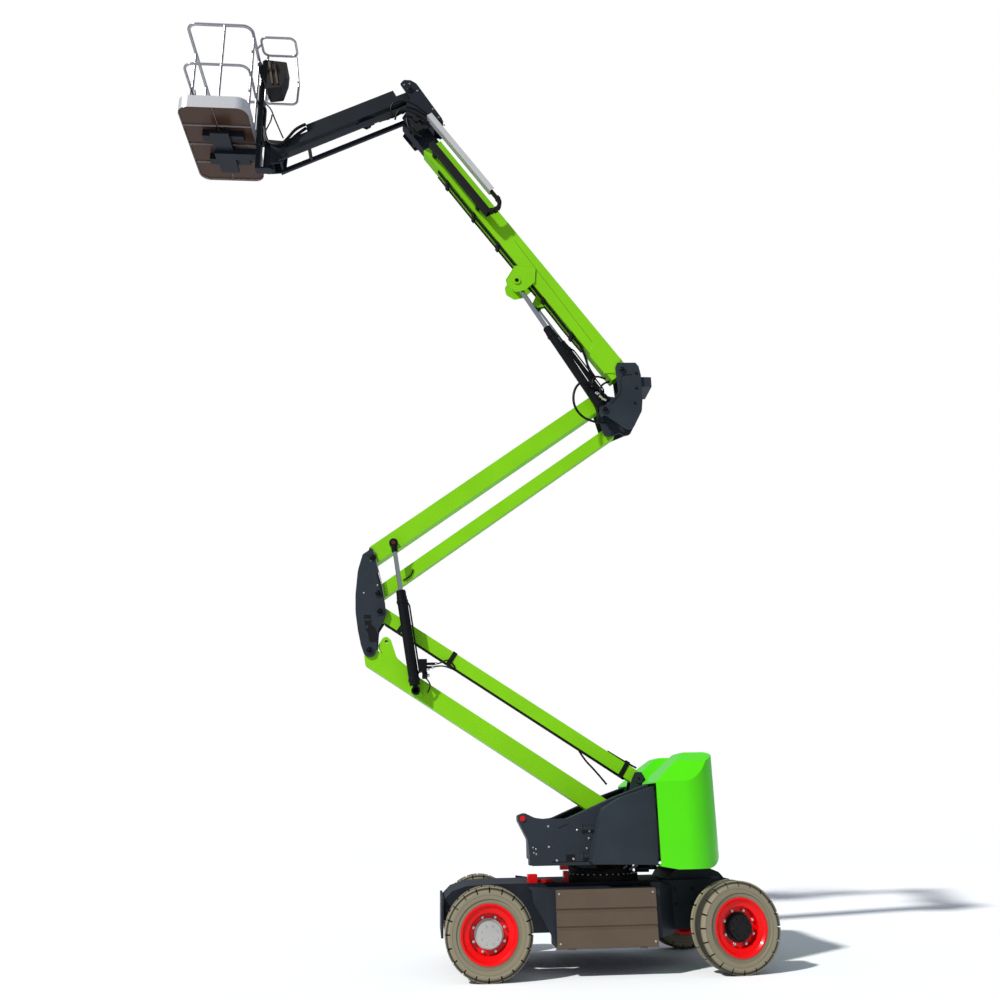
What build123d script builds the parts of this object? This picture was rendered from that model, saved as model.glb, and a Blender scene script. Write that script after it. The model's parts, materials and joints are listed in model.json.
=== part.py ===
from build123d import *
from math import cos, hypot, radians, sin, tan
import os

# Self-propelled articulated boom lift, sizes in millimetres.
# X runs along the machine, the boom side is at minus X. Y runs away from the
# viewer. Z is up from the ground.

# Where the middle of the wheelbase lands in the written parts
middle_x = 1419

# Wheels and axles
drive_x = 1015
steer_x = 980
wheel_y = 775
tyre_radius = 354
tyre_width = 240
steer_rest = 9
kingpin_y = 560
kingpin_radius = 20
lug_count = 20

# Chassis
deck_z = 692
frame_half = 380
tray_x0 = -462
tray_x1 = 364
tray_z0 = 218
tray_z1 = 664
tray_y = 800

# Turret
slew_x = 50
turret_z = 850
turret_x0 = -560
side_y = 600
hinge_x = -200
hood_x0 = 420
hood_x1 = 985
hood_z0 = 803
hood_z1 = 1748
hood_half = 850
hood_round = 330
hood_wall = 12

# Side planes of the two arm stacks and of the rams
riser_y = 90
boom_y = -90
riser_ram_y = -62
lift_ram_y = -124
level_ram_y = -42
arm_half = 75
link_half = 55
gap = 5
cheek = 15
pin_radius = 25
bore_radius = 25.6
small_pin = 16
small_bore = 16.6

# Risers: each carries the next one, so a changed length moves all above it
pin_t1 = (356.4, 1177.3)
pin_t2 = (pin_t1[0] + 92, pin_t1[1] + 373)
riser_length = 2900
lower_angle = 33.1
upper_angle = 36.0
lower_run = riser_length * cos(radians(lower_angle))
lower_rise = riser_length * sin(radians(lower_angle))
upper_run = riser_length * cos(radians(upper_angle))
upper_rise = riser_length * sin(radians(upper_angle))
pin_k1 = (pin_t1[0] - lower_run, pin_t1[1] + lower_rise)
pin_k2 = (pin_t2[0] - lower_run, pin_t2[1] + lower_rise)
pin_a1 = (pin_k1[0] + 10, pin_k1[1] + 907)
pin_b1 = (pin_k1[0] + 73, pin_k1[1] + 552)
pin_a2 = (pin_a1[0] + upper_run, pin_a1[1] + upper_rise)
pin_b2 = (pin_b1[0] + upper_run, pin_b1[1] + upper_rise)
ram_low = (pin_k1[0] + 445, pin_k1[1] - 391)
ram_high = (pin_a1[0] + 204, pin_a1[1] + 132)

# Main boom, its rams and its inner boom
pin_c = (pin_a2[0] + 209, pin_a2[1] + 283.4)
boom_angle = 54.6
boom_long = 3400
boom_top = 81
boom_low = -150
boom_wall = 6
fly_half = 64
fly_gap = 13
lift_low = (pin_c[0] - 203, pin_c[1] - 457)
lift_run = 1477
lift_drop = -279
level_low = (pin_c[0] - 117, pin_c[1] - 326)
level_run = 1173
level_drop = -235

# Jib and platform
jib_out = 1408
jib_down = 755
level_gap = 200
support_reach = 145
floor_y = -90
floor_long = 1222
floor_deep = 736
floor_corner = 120
rail_height = 1130
rail_radius = 17
yoke_radius = 55

parts = {}


def keep(name, shape):
    parts[name] = shape


def block(x0, x1, y0, y1, z0, z1):
    size = (abs(x1 - x0), abs(y1 - y0), abs(z1 - z0))
    return Pos((x0 + x1) / 2, (y0 + y1) / 2, (z0 + z1) / 2) * Box(*size)


def outline(points):
    # A flat face of straight runs; a third number rounds that corner.
    spots = []
    for number, point in enumerate(points):
        here = Vector(point[0], point[1], 0)
        before = points[number - 1]
        after = points[(number + 1) % len(points)]
        into = (here - Vector(before[0], before[1], 0)).normalized()
        out = (Vector(after[0], after[1], 0) - here).normalized()
        bend = point[2] if len(point) > 2 else 0
        if not bend:
            spots.append((here, None, here))
            continue
        half = radians(into.get_angle(out)) / 2
        back = bend * tan(half)
        middle = here + (out - into).normalized() * (bend / cos(half) - bend)
        spots.append((here - into * back, middle, here + out * back))
    edges = []
    for number, (first, middle, last) in enumerate(spots):
        if middle is not None:
            edges.append(Edge.make_three_point_arc(first, middle, last))
        edges.append(Edge.make_line(last, spots[(number + 1) % len(spots)][0]))
    return make_face(Wire(edges))


def slab(points, y0, y1):
    place = Plane((0, max(y0, y1), 0), x_dir=(1, 0, 0), z_dir=(0, -1, 0))
    return extrude(place * outline(points), abs(y1 - y0))


def sheet(points, z0, z1):
    return Pos(0, 0, z0) * extrude(outline(points), z1 - z0)


def bar(points, x0, x1):
    place = Plane((x0, 0, 0), x_dir=(0, 1, 0), z_dir=(1, 0, 0))
    return extrude(place * outline(points), x1 - x0)


def moved(points, at):
    # Outlines are listed from their pin, so that they go where it goes.
    return [(p[0] + at[0], p[1] + at[1], *p[2:]) for p in points]


def round_x(y, z, radius, x0, x1):
    turn = Rot(0, 90, 0) * Cylinder(radius, x1 - x0)
    return Pos((x0 + x1) / 2, y, z) * turn


def round_y(at, radius, y0, y1):
    turn = Rot(90, 0, 0) * Cylinder(radius, abs(y1 - y0))
    return Pos(at[0], (y0 + y1) / 2, at[1]) * turn


def round_z(x, y, radius, z0, z1):
    return Pos(x, y, (z0 + z1) / 2) * Cylinder(radius, z1 - z0)


def stick(start, end, radius):
    a = Vector(*start)
    b = Vector(*end)
    plane = Plane(origin=a, z_dir=b - a)
    return extrude(plane * Circle(radius), (b - a).length)


def reach(a, b):
    return hypot(b[0] - a[0], b[1] - a[1])


def along(a, b, run, rise):
    # A point run along the line from pin a to pin b and rise above it.
    length = reach(a, b)
    ux = (b[0] - a[0]) / length
    uz = (b[1] - a[1]) / length
    nx = -uz
    nz = ux
    if nz < 0:
        nx = -nx
        nz = -nz
    return (a[0] + ux * run + nx * rise, a[1] + uz * run + nz * rise)


def strip(a, b, run0, run1, rise0, rise1, y0, y1):
    corners = ((run0, rise0), (run1, rise0), (run1, rise1), (run0, rise1))
    return slab([along(a, b, run, rise) for run, rise in corners], y0, y1)


def tube_arm(a, b, run0, run1, low, high, middle_y, half, wall):
    outer = strip(a, b, run0, run1, low, high, middle_y - half, middle_y + half)
    inner = strip(
        a, b, run0 - 1, run1 + 1, low + wall, high - wall,
        middle_y - half + wall, middle_y + half - wall,
    )
    return outer - inner


def hoop(points, bend, radius):
    # A round tube through the points, each inner corner rounded by bend.
    spots = [Vector(*p) for p in points]
    edges = []
    start = spots[0]
    for before, corner, after in zip(spots, spots[1:], spots[2:]):
        into = (corner - before).normalized()
        out = (after - corner).normalized()
        half = radians(into.get_angle(out)) / 2
        if half < 0.005:
            continue
        back = bend * tan(half)
        first = corner - into * back
        last = corner + out * back
        middle = corner + (out - into).normalized() * (bend / cos(half) - bend)
        edges.append(Edge.make_line(start, first))
        edges.append(Edge.make_three_point_arc(first, middle, last))
        start = last
    edges.append(Edge.make_line(start, spots[-1]))
    path = Wire(edges)
    plane = Plane(origin=spots[0], z_dir=spots[1] - spots[0])
    return sweep(plane * Circle(radius), path=path)


def ring_hoop(x0, x1, y0, y1, z, bend, radius):
    # A closed level tube round a rectangle with rounded corners.
    ring = RectangleRounded(x1 - x0, y1 - y0, bend)
    path = Pos((x0 + x1) / 2, (y0 + y1) / 2, z) * ring.wire()
    plane = Plane(origin=path @ 0, z_dir=path % 0)
    return sweep(plane * Circle(radius), path=path)


def pin(at, y0, y1, radius=pin_radius):
    return round_y(at, radius, y0, y1)


def cut_round(shape, at, y0, y1, radius=bore_radius):
    return shape - round_y(at, radius, y0 - 1, y1 + 1)


# Pins found along the boom and the jib
boom_end = (
    pin_c[0] - boom_long * cos(radians(boom_angle)),
    pin_c[1] + boom_long * sin(radians(boom_angle)),
)
lift_high = along(pin_c, boom_end, lift_run, lift_drop)
level_high = along(pin_c, boom_end, level_run, level_drop)
pin_p1 = along(pin_c, boom_end, boom_long + 712, 159.3)
pin_p2 = (pin_p1[0] - 4, pin_p1[1] - level_gap)
pin_q1 = (pin_p1[0] - jib_out, pin_p1[1] - jib_down)
pin_q2 = (pin_q1[0] - 4, pin_q1[1] - level_gap)
jib_length = reach(pin_p1, pin_q1)
jib_ram_run = 600
jib_ram_drop = -110
jib_ram_low = (pin_p1[0], pin_p1[1] - 125)
jib_ram_high = along(pin_p1, pin_q1, jib_ram_run, jib_ram_drop)
turn_x = pin_q1[0] - support_reach
floor_x = turn_x - 516
floor_z = pin_q1[1] + 26

# Chassis
side = [
    (-1371, 420), (-1250, 350), (-1040, 420), (-760, 300), (760, 300), (900, 380),
    (1110, 430), (1200, 520), (1200, 620), (1110, deck_z), (-1010, deck_z),
    (-1180, deck_z - 12), (-1300, deck_z - 50), (-1371, deck_z - 118),
]
inside = [
    (-1300, 440), (-1040, 440), (-740, 320), (740, 320), (880, 400), (1090, 450),
    (1160, 540), (1160, 610), (1090, deck_z - 12), (-1010, deck_z - 12),
    (-1180, deck_z - 24), (-1300, deck_z - 66),
]
frame = slab(side, -frame_half, frame_half)
frame -= slab(inside, -frame_half + 10, frame_half - 10)
end_plate = [(-460, 285, 20), (460, 285, 20), (460, 595, 60), (-460, 595, 60)]
frame += bar(end_plate, -1391, -1371)
tie_y = 418
tie_z = 540
for y in (-tie_y, tie_y):
    frame -= round_x(y, tie_z, 22, -1401, -1361)
for x in (-820, 800):
    for y in (-180, 180):
        frame += block(x - 10, x + 10, y - 10, y + 10, 310, deck_z - 6)
axle_half = 70
axle_top = tyre_radius + 62
for x in (-drive_x, steer_x):
    frame -= block(x - axle_half, x + axle_half, -frame_half - 1, frame_half + 1, 290, axle_top)
cowl = [
    (590, deck_z - 30), (590, deck_z, 30), (640, 765, 60), (760, 793, 80), (920, 793, 80),
    (1040, 745, 60), (1110, deck_z - 30),
]
frame += slab(cowl, -330, 330)
keep("chassis_frame", frame)

# Side trays with their folded fronts
fold_y = tray_y - 30
fold = [
    (-tray_y + 14, tray_z0), (-tray_y, tray_z0 + 12), (-tray_y, 360), (-tray_y + 10, 368),
    (-tray_y + 10, 380), (-tray_y, 392), (-tray_y, 486), (-tray_y + 12, 498),
    (-tray_y + 12, 512), (-tray_y, 524), (-tray_y, 640), (-tray_y + 14, tray_z1),
    (-fold_y, tray_z1), (-fold_y, tray_z0),
]
tray_hinge_y = tray_y - 14
tray_hinge_z = tray_z0 + 2
cases = []
batteries = []
for side_name, flip in (("near", 1), ("far", -1)):
    front = bar([(y * flip, z) for y, z in fold], tray_x0, tray_x1)
    for x in (tray_x0 + 90, tray_x1 - 150):
        front += round_x(-tray_hinge_y * flip, tray_hinge_z, 8, x, x + 60)
    keep("tray_front_" + side_name, front)
    y_in = -frame_half * flip
    y_out = -fold_y * flip
    case = block(tray_x0, tray_x1, y_in, y_out, tray_z0, tray_z1)
    case -= block(
        tray_x0 + 8, tray_x1 - 8, y_in, y_out + 8 * flip, tray_z0 + 8, tray_z1 - 8
    )
    skirt = [
        (tray_x0, tray_z1), (-660, 690), (-640, 560), (-560, 430), (tray_x0, tray_z0 + 20),
    ]
    case += slab(skirt, y_out + 20 * flip, y_out + 32 * flip)
    case += block(-650, tray_x0, y_in, y_out + 32 * flip, 650, 664)
    corner = [
        (tray_x1 - 4, 640), (tray_x1 + 70, 640), (600, frame_half + 4), (600, frame_half),
        (584, frame_half), (tray_x1 + 62, 628), (tray_x1 - 4, 628),
    ]
    wall = sheet([(x, -y * flip) for x, y in corner], 268, 700)
    wall &= slab([(tray_x1 - 6, 260), (700, 260), (700, 596), (tray_x1 + 66, 698), (tray_x1 - 6, 698)],
                 -tray_y, tray_y)
    case += wall
    cases.append(case)
    battery = block(
        tray_x0 + 60, tray_x1 - 60, y_in - 20 * flip, y_out + 30 * flip,
        tray_z0 + 8, tray_z1 - 90,
    )
    batteries.append(battery)
keep("tray_cases", cases[0] + cases[1])
keep("battery_packs", batteries[0] + batteries[1])


# Wheels
def tyre():
    half = tyre_width / 2
    shoulder = 62
    step = 360 / lug_count
    bodies = Rot(90, 0, 0) * Cylinder(tyre_radius - 9, tyre_width - 2 * shoulder)
    for sign in (-1, 1):
        points = []
        for number in range(lug_count):
            start = number * step + (step / 2 if sign > 0 else 0)
            for share, depth in ((0, 0), (0.44, 0), (0.88, 0), (0.88, 45), (0.995, 45)):
                angle = radians(start + share * step)
                reach_out = tyre_radius - depth
                points.append((reach_out * cos(angle), reach_out * sin(angle)))
        bodies += slab(points, sign * (half - shoulder), sign * half)
    side_cut = [
        (230, half + 1), (230, half - 10), (262, half - 14), (264, half - 5),
        (318, half - 2), (356, half - 26), (370, half - 26), (370, half + 1),
    ]
    for sign in (-1, 1):
        face = make_face(Polyline(*[(r, sign * y, 0) for r, y in side_cut], close=True))
        bodies -= revolve(face, axis=Axis.Y, revolution_arc=360)
    return bodies - Rot(90, 0, 0) * Cylinder(230, tyre_width + 2)


def rim(cap_radius, cap_out, hole_radius):
    # The wheel seen from its outer side, which is at minus Y.
    profile = [
        (229.6, -112), (229.6, 108), (200, 108), (200, -20), (hole_radius, -24),
        (hole_radius, -42), (155, -42), (160, -90), (200, -97), (214, -112),
    ]
    face = make_face(Polyline(*[(r, y, 0) for r, y in profile], close=True))
    disc = revolve(face, axis=Axis.Y, revolution_arc=360)
    hub = Rot(90, 0, 0) * Pos(0, 0, 20) * Cylinder(hole_radius + 6, 60)
    hub -= round_y((0, 0), 30.6, -20, 12)
    cap = Rot(90, 0, 0) * Pos(0, 0, 20 + cap_out / 2) * Cylinder(cap_radius, cap_out)
    studs = []
    for number in range(8):
        angle = radians(45 * number + 22.5)
        studs.append(round_y((134 * cos(angle), 134 * sin(angle)), 10, -58, -36))
    return disc, hub + cap, studs


drives = []
for name, x, y in (
    ("drive_near", -drive_x, -wheel_y), ("drive_far", -drive_x, wheel_y),
    ("steer_near", steer_x, -wheel_y), ("steer_far", steer_x, wheel_y),
):
    steered = x > 0
    disc, hub, studs = rim(94 if steered else 100, 84 if steered else 94, 110)
    half_turn = 0 if y < 0 else 180
    out = abs(wheel_y) - kingpin_y
    if steered:
        place = Pos(x, (1 if y > 0 else -1) * kingpin_y, tyre_radius)
        place = place * Rot(0, 0, steer_rest + half_turn) * Pos(0, -out, 0)
    else:
        place = Pos(x, y, tyre_radius) * Rot(0, 0, half_turn)
    for stud in studs:
        disc += stud
    keep("tyre_" + name, place * tyre())
    keep("rim_" + name, place * (disc - Rot(90, 0, 0) * Pos(0, 0, 20) * Cylinder(116, 61)))
    keep("hub_" + name, place * hub)
    spindle = round_y((0, 0), 30, -18, 25)
    if steered:
        stub = Rot(90, 0, 0) * Pos(0, 0, -75) * Cylinder(70, 110)
        post = Pos(0, out, 0) * Cylinder(48, 200)
        arm = block(-40, 40, out - 95, out, -50, 50)
        kingpin = Pos(0, out, 0) * Cylinder(kingpin_radius, 256)
        keep("knuckle_" + name, place * (stub + arm + post + kingpin + spindle))
    else:
        motor = Rot(90, 0, 0) * Pos(0, 0, -150) * Cylinder(105, 260)
        drives.append(place * (motor + spindle))

axle_y = kingpin_y - 60
steer_axle = block(
    steer_x - axle_half, steer_x + axle_half, -axle_y, axle_y, tyre_radius - 50, axle_top
)
for sign in (-1, 1):
    for z in (tyre_radius - 128, tyre_radius + 106):
        steer_axle += block(
            steer_x - 60, steer_x + 60, sign * (axle_y - 60), sign * (kingpin_y + 60), z, z + 22
        )
        steer_axle += round_z(steer_x, sign * kingpin_y, 60, z, z + 22)
    steer_axle += block(
        steer_x - 60, steer_x + 60, sign * (axle_y - 60), sign * (axle_y - 30),
        tyre_radius - 128, tyre_radius + 128,
    )
for y in (-kingpin_y, kingpin_y):
    steer_axle -= round_z(steer_x, y, kingpin_radius + 0.6, tyre_radius - 154, tyre_radius + 146)
keep("steer_axle", steer_axle)
drive_axle = block(
    -drive_x - axle_half, -drive_x + axle_half, -axle_y, axle_y, tyre_radius - 60, axle_top
)
keep("drive_axle", drive_axle + drives[0] + drives[1])

# Slew ring and deck fittings
ring = round_z(slew_x, 0, 330, deck_z, deck_z + 46)
ring += round_z(slew_x, 0, 290, deck_z + 46, turret_z - 17.6)
ring -= round_z(slew_x, 0, 200, deck_z - 1, turret_z)
keep("slew_ring", ring)
fittings = block(-640, -560, -330, -230, deck_z, deck_z + 66)
fittings += block(-560, -420, -300, -260, deck_z, deck_z + 24)
fittings += block(-330, -290, -340, -260, deck_z, deck_z + 88)
keep("deck_lock", fittings)

# Turret
bed_half = 430
bed = block(turret_x0, 900, -bed_half, bed_half, turret_z, turret_z + 20)
bed += round_z(slew_x, 0, 300, turret_z - 17, turret_z)
bed -= round_z(slew_x, 0, 150, turret_z - 18, turret_z + 21)
cheeks = [
    (-120, turret_z + 20), (520, turret_z + 20), (560, 1400), (pin_t2[0] + 62, pin_t2[1]),
    (pin_t2[0] + 30, pin_t2[1] + 58), (pin_t2[0] - 30, pin_t2[1] + 58),
    (pin_t2[0] - 66, pin_t2[1] - 10), (pin_t1[0] - 66, pin_t1[1] + 20), (-120, 1080),
]
inner = arm_half + gap
for y0 in (riser_y - inner - cheek, riser_y + inner):
    bed += slab(cheeks, y0, y0 + cheek)
for at in (pin_t1, pin_t2):
    bed += pin(at, riser_y - inner - cheek, riser_y + inner + cheek)
    bed += pin(at, riser_y - inner - cheek - 12, riser_y - inner - cheek, 42)
for y in (-bed_half, bed_half - 16):
    bed += block(turret_x0 + 20, 415, y, y + 16, turret_z + 20, 1120)
bed += block(turret_x0, turret_x0 + 16, -bed_half, bed_half, turret_z + 20, 1025)
keep("turret_bed", bed)

side_low = turret_z - 10
horn = [
    (-640, side_low, 20), (-664, 1053, 60), (-740, 1200, 10), (-742, 1245, 18),
    (-685, 1266, 30), (-600, 1226, 60), (-501, 1212, 60), (-314, 1212, 120),
    (120, 1390, 60), (395, 1482), (402, side_low),
]
horn_in = [
    (-625, side_low + 14, 10), (-648, 1060, 50), (-662, 1180), (-600, 1190), (-314, 1196, 110),
    (120, 1372, 60), (385, 1462), (388, side_low + 14),
]
stub = [
    (turret_x0, side_low, 20), (turret_x0, 1190, 40), (-314, 1212, 120), (120, 1390, 60),
    (395, 1482), (402, side_low),
]
stub_in = [
    (turret_x0 + 14, side_low + 14, 10), (turret_x0 + 14, 1176, 30), (-314, 1196, 110),
    (120, 1372, 60), (385, 1462), (388, side_low + 14),
]
hinge_y = side_y + 13
sides = []
for flip, skin, core in ((1, horn, horn_in), (-1, stub, stub_in)):
    y0 = -bed_half * flip
    y1 = -side_y * flip
    shell = slab(skin, y0, y1)
    shell -= slab(core, y0 + 1 * flip, y1 + 14 * flip)
    for z in (900, 1120):
        shell += round_z(hinge_x, -hinge_y * flip, 6, z - 12, z + 42)
        shell += block(
            hinge_x - 8, hinge_x + 8, -side_y * flip, -(hinge_y + 6) * flip, z - 12, z - 2
        )
    sides.append(shell)
lamps = round_y((-704, 1222), 22, -side_y, -side_y - 12)
keep("turret_sides", sides[0] + sides[1])
keep("turret_lamps", lamps)

cover_y = hood_half - 50
cover = [
    (-158, side_low + 14, 20), (-66, 1215, 60), (-30, 1296, 60), (120, 1375, 60),
    (414, 1462), (404, side_low - 2),
]
cover_in = [
    (-140, side_low + 28, 15), (-52, 1212, 55), (-22, 1284, 55), (120, 1358, 55),
    (402, 1442), (392, side_low + 14),
]
for side_name, flip in (("near", 1), ("far", -1)):
    y0 = (-side_y - 2) * flip
    y1 = -cover_y * flip
    shell = None
    for skin, thin in ((cover, 0), (cover_in, 8)):
        out = -cover_y + thin
        section = [
            (-side_y + 20, 800), (out + 22, 800), (out, 890, 60), (out, 1200, 150),
            (out + 60, 1500), (-side_y + 20, 1500),
        ]
        form = slab(skin, y0, y1) & bar([(p[0] * flip, *p[1:]) for p in section], -300, 600)
        shell = form if shell is None else shell - form
    for z in (900, 1120):
        strap = block(hinge_x, -75, -(side_y + 6) * flip, -(hinge_y + 7) * flip, z, z + 30)
        strap += round_z(hinge_x, -hinge_y * flip, 11, z, z + 30)
        shell += strap
        shell -= round_z(hinge_x, -hinge_y * flip, 6.6, z - 1, z + 31)
    keep("turret_cover_" + side_name, shell)


# Counterweight hood, open to the front
def hood_form(thin):
    half = hood_half - thin
    wide = half + 3
    right = hood_x1 - thin
    past = right + 3
    low = hood_z0 + thin
    top = hood_z1 - thin
    front = hood_x0 - 5
    plan = [
        (front, -half), (right, -half, hood_round - thin), (right, half, hood_round - thin),
        (front, half),
    ]
    profile = [
        (front - 1, low + 26), (560, low), (past, low, 170 - thin), (past, top, 90 - thin),
        (705, top, 90), (front - 1, 1500 - thin),
    ]
    section = [
        (-wide, low), (wide, low), (wide, top - 250), (half - 88, top - 78), (half - 250, top),
        (250 - half, top), (88 - half, top - 78), (-wide, top - 250),
    ]
    form = sheet(plan, hood_z0 - 5, hood_z1 + 5)
    form &= slab(profile, -hood_half - 1, hood_half + 1)
    form &= bar(section, front - 1, hood_x1 + 1)
    valley = [
        (-400 - thin, hood_z1 + 60), (-280 - thin, 1400 - thin, 40),
        (280 + thin, 1400 - thin, 40), (400 + thin, hood_z1 + 60),
    ]
    climb = Vector(hood_x1 - hood_x0, 0, 270).normalized()
    place = Plane((front - 2, 0, 0), x_dir=(0, 1, 0), z_dir=(1, 0, 0))
    cut = extrude(place * outline(valley), 800, dir=climb)
    return form - cut


hood = hood_form(0) - hood_form(hood_wall)
hood -= block(hood_x0 - 6, hood_x1 - 60, -bed_half - 6, bed_half + 6, hood_z0 - 5, 925)
hood -= block(hood_x0 - 6, 580, riser_y - 115, riser_y + 115, 1300, 1700)
cast_x1 = 890
for y in (-250, 150):
    hood += block(cast_x1, hood_x1 - hood_wall / 2, y, y + 100, 1000, 1100)
keep("counterweight_hood", hood)
keep("counterweight_cast", block(600, cast_x1, -420, 420, turret_z + 20, 1300))

# Lower riser
arm = tube_arm(pin_t1, pin_k1, -40, riser_length + 10, -133, 42, riser_y, arm_half, 6)
trim = [(riser_length - 50, -140), (riser_length + 20, -140), (riser_length + 20, -60)]
arm -= slab([along(pin_t1, pin_k1, *p) for p in trim], riser_y - inner, riser_y + inner)
for at in (pin_t1, pin_k1):
    arm += round_y(at, 46, riser_y - arm_half, riser_y + arm_half)
arm += round_y(ram_low, 44, riser_ram_y + 24, riser_y - arm_half + 4)
foot_plate = [(-72, 50, 20), (-12, -60, 20), (68, -80, 20), (58, 0), (18, 70, 20)]
arm += slab(moved(foot_plate, ram_low), riser_y - arm_half - 14, riser_y - arm_half)
arm += pin(ram_low, riser_ram_y - 30, riser_y - arm_half + 2)
ear = [
    (78, 39), (123, 119, 30), (163, 134, 30), (203, 99, 30), (261, -71, 60), (389, -180),
    (389, -231), (173, -101),
]
for y in (riser_y - arm_half, riser_y + arm_half - 12):
    arm += slab(moved(ear, pin_k1), y, y + 12)
ear_hole = (pin_k1[0] + 160, pin_k1[1] + 84)
arm -= round_y(ear_hole, 16, riser_y - arm_half - 1, riser_y + arm_half + 1)
for at in (pin_t1, pin_k1):
    arm = cut_round(arm, at, riser_y - arm_half, riser_y + arm_half)
keep("lower_arm", arm)

link = tube_arm(pin_t2, pin_k2, -40, riser_length + 40, -61, 61, riser_y, link_half, 6)
for at in (pin_t2, pin_k2):
    link += round_y(at, 50, riser_y - link_half, riser_y + link_half)
    link = cut_round(link, at, riser_y - link_half, riser_y + link_half)
keep("lower_link", link)

# Knuckle between the risers, listed from its lowest pin
knuckle = [
    (-19, 990, 25), (-89, 942, 40), (-131, 779, 300), (-147, 539, 500), (-141, 362, 500),
    (-113, 187, 400), (-81, 49, 200), (-47, -45, 50), (0, -72, 50), (53, -55, 40),
    (73, 25, 60), (77, 129, 200), (81, 198, 60), (131, 280, 60), (158, 361, 30),
    (139, 426, 60), (132, 491, 100), (113, 579, 200), (88, 658, 200), (49, 839, 400),
    (28, 974, 20),
]
joint_body = None
for y0 in (riser_y - inner - cheek, riser_y + inner):
    wall = slab(moved(knuckle, pin_k1), y0, y0 + cheek)
    joint_body = wall if joint_body is None else joint_body + wall
spine = [
    (-87, 936), (-129, 779), (-143, 539), (-138, 362), (-110, 187), (-80, 84),
    (-70, 94), (-98, 189), (-126, 362), (-131, 539), (-117, 777), (-77, 928),
]
joint_body += slab(moved(spine, pin_k1), riser_y - inner, riser_y + inner)
for at in (pin_k1, pin_k2, pin_a1, pin_b1):
    joint_body += pin(at, riser_y - inner - cheek, riser_y + inner + cheek)
    joint_body += pin(at, riser_y - inner - cheek - 8, riser_y - inner - cheek, 38)
keep("riser_knuckle", joint_body)

# Upper riser
arm = tube_arm(pin_a1, pin_a2, -30, riser_length + 40, -63, 112, riser_y, arm_half, 6)
trim = [(-40, 50), (50, 120), (-40, 120)]
arm -= slab([along(pin_a1, pin_a2, *p) for p in trim], riser_y - inner, riser_y + inner)
for at in (pin_a1, pin_a2):
    arm += round_y(at, 46, riser_y - arm_half, riser_y + arm_half)
arm += round_y(ram_high, 44, riser_ram_y + 24, riser_y - arm_half + 4)
head_plate = [(-41, -100), (99, 0), (34, 50, 20), (-21, 40, 20), (-46, -10, 20)]
arm += slab(moved(head_plate, ram_high), riser_y - arm_half - 14, riser_y - arm_half)
for at in (pin_a1, pin_a2):
    arm = cut_round(arm, at, riser_y - arm_half, riser_y + arm_half)
keep("upper_arm", arm)
link = tube_arm(pin_b1, pin_b2, -40, riser_length + 40, -64, 64, riser_y, link_half, 6)
for at in (pin_b1, pin_b2):
    link += round_y(at, 50, riser_y - link_half, riser_y + link_half)
    link = cut_round(link, at, riser_y - link_half, riser_y + link_half)
keep("upper_link", link)


# Rams: a barrel with a closed foot and a rod running in it
def ram(name, low, high, middle_y, barrel, rod, split, eye, width, closing, pin_r=pin_radius):
    y0 = middle_y - width / 2
    y1 = middle_y + width / 2
    length = reach(low, high)
    foot = round_y(low, eye, y0, y1)
    neck = along(low, high, eye + 10, 0)
    foot += stick((low[0], middle_y, low[1]), (neck[0], middle_y, neck[1]), width / 2 - 2)
    start = along(low, high, eye + 8, 0)
    end = along(low, high, length * split, 0)
    gland = along(low, high, length * split - 50, 0)
    tube = stick((start[0], middle_y, start[1]), (end[0], middle_y, end[1]), barrel - 3)
    tube += stick((start[0], middle_y, start[1]), (gland[0], middle_y, gland[1]), barrel)
    inside_from = along(low, high, eye + 30, 0)
    inside_to = along(low, high, length * split + 1, 0)
    tube -= stick(
        (inside_from[0], middle_y, inside_from[1]),
        (inside_to[0], middle_y, inside_to[1]), rod + 0.6,
    )
    case = cut_round(foot + tube, low, y0, y1, pin_r + 0.6)
    tip = along(low, high, length - eye + 6, 0)
    deep = along(low, high, eye + 40 + closing, 0)
    shaft = stick((deep[0], middle_y, deep[1]), (tip[0], middle_y, tip[1]), rod)
    head = round_y(high, eye, y0, y1) + shaft
    keep(name + "_barrel", case)
    keep(name + "_rod", head)


ram("riser_ram", ram_low, ram_high, riser_ram_y, 50, 22, 0.66, 42, 46, 340)
ram("lift_ram", lift_low, lift_high, lift_ram_y, 46, 25, 0.64, 44, 60, 430)
ram("level_ram", level_low, level_high, level_ram_y, 24, 13, 0.62, 26, 32, 305, small_pin)
ram("jib_ram", jib_ram_low, jib_ram_high, boom_y, 24, 13, 0.72, 26, 36, 45, small_pin)

# Bracket on top of the risers, listed from the boom's pin
plate = [
    (-47, 82, 20), (148, 86, 20), (180, 44, 30), (198, -56), (198, -336, 60), (182, -466, 60),
    (83, -656, 60), (20, -671, 60), (-187, -526), (-249, -506, 30), (-265, -431, 30),
    (-194, -403), (-74, -292, 30), (-52, -237), (-69, 26),
]
near_wall = boom_y - arm_half - gap - 5
bracket = None
for y0, thick in ((near_wall - cheek, cheek), (-10, 20), (riser_y + inner, cheek)):
    wall = slab(moved(plate, pin_c), y0, y0 + thick)
    if y0 > 0:
        wall = slab(moved([(-10, -60, 20), (198, -60), (198, -336, 60), (182, -466, 60),
                           (83, -600, 60), (-10, -600, 60)], pin_c), y0, y0 + thick)
    bracket = wall if bracket is None else bracket + wall
drop = (pin_b2[0] - pin_c[0], pin_b2[1] - pin_c[1])
riser_ear = [
    (-278, -256, 30), (-192, -206, 30), (8, -256), (60, -600), (drop[0] + 36, drop[1] - 38, 30),
    (drop[0] - 40, drop[1] - 38, 34), (drop[0] - 56, drop[1] + 20, 30), (-278, -326, 30),
]
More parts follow.
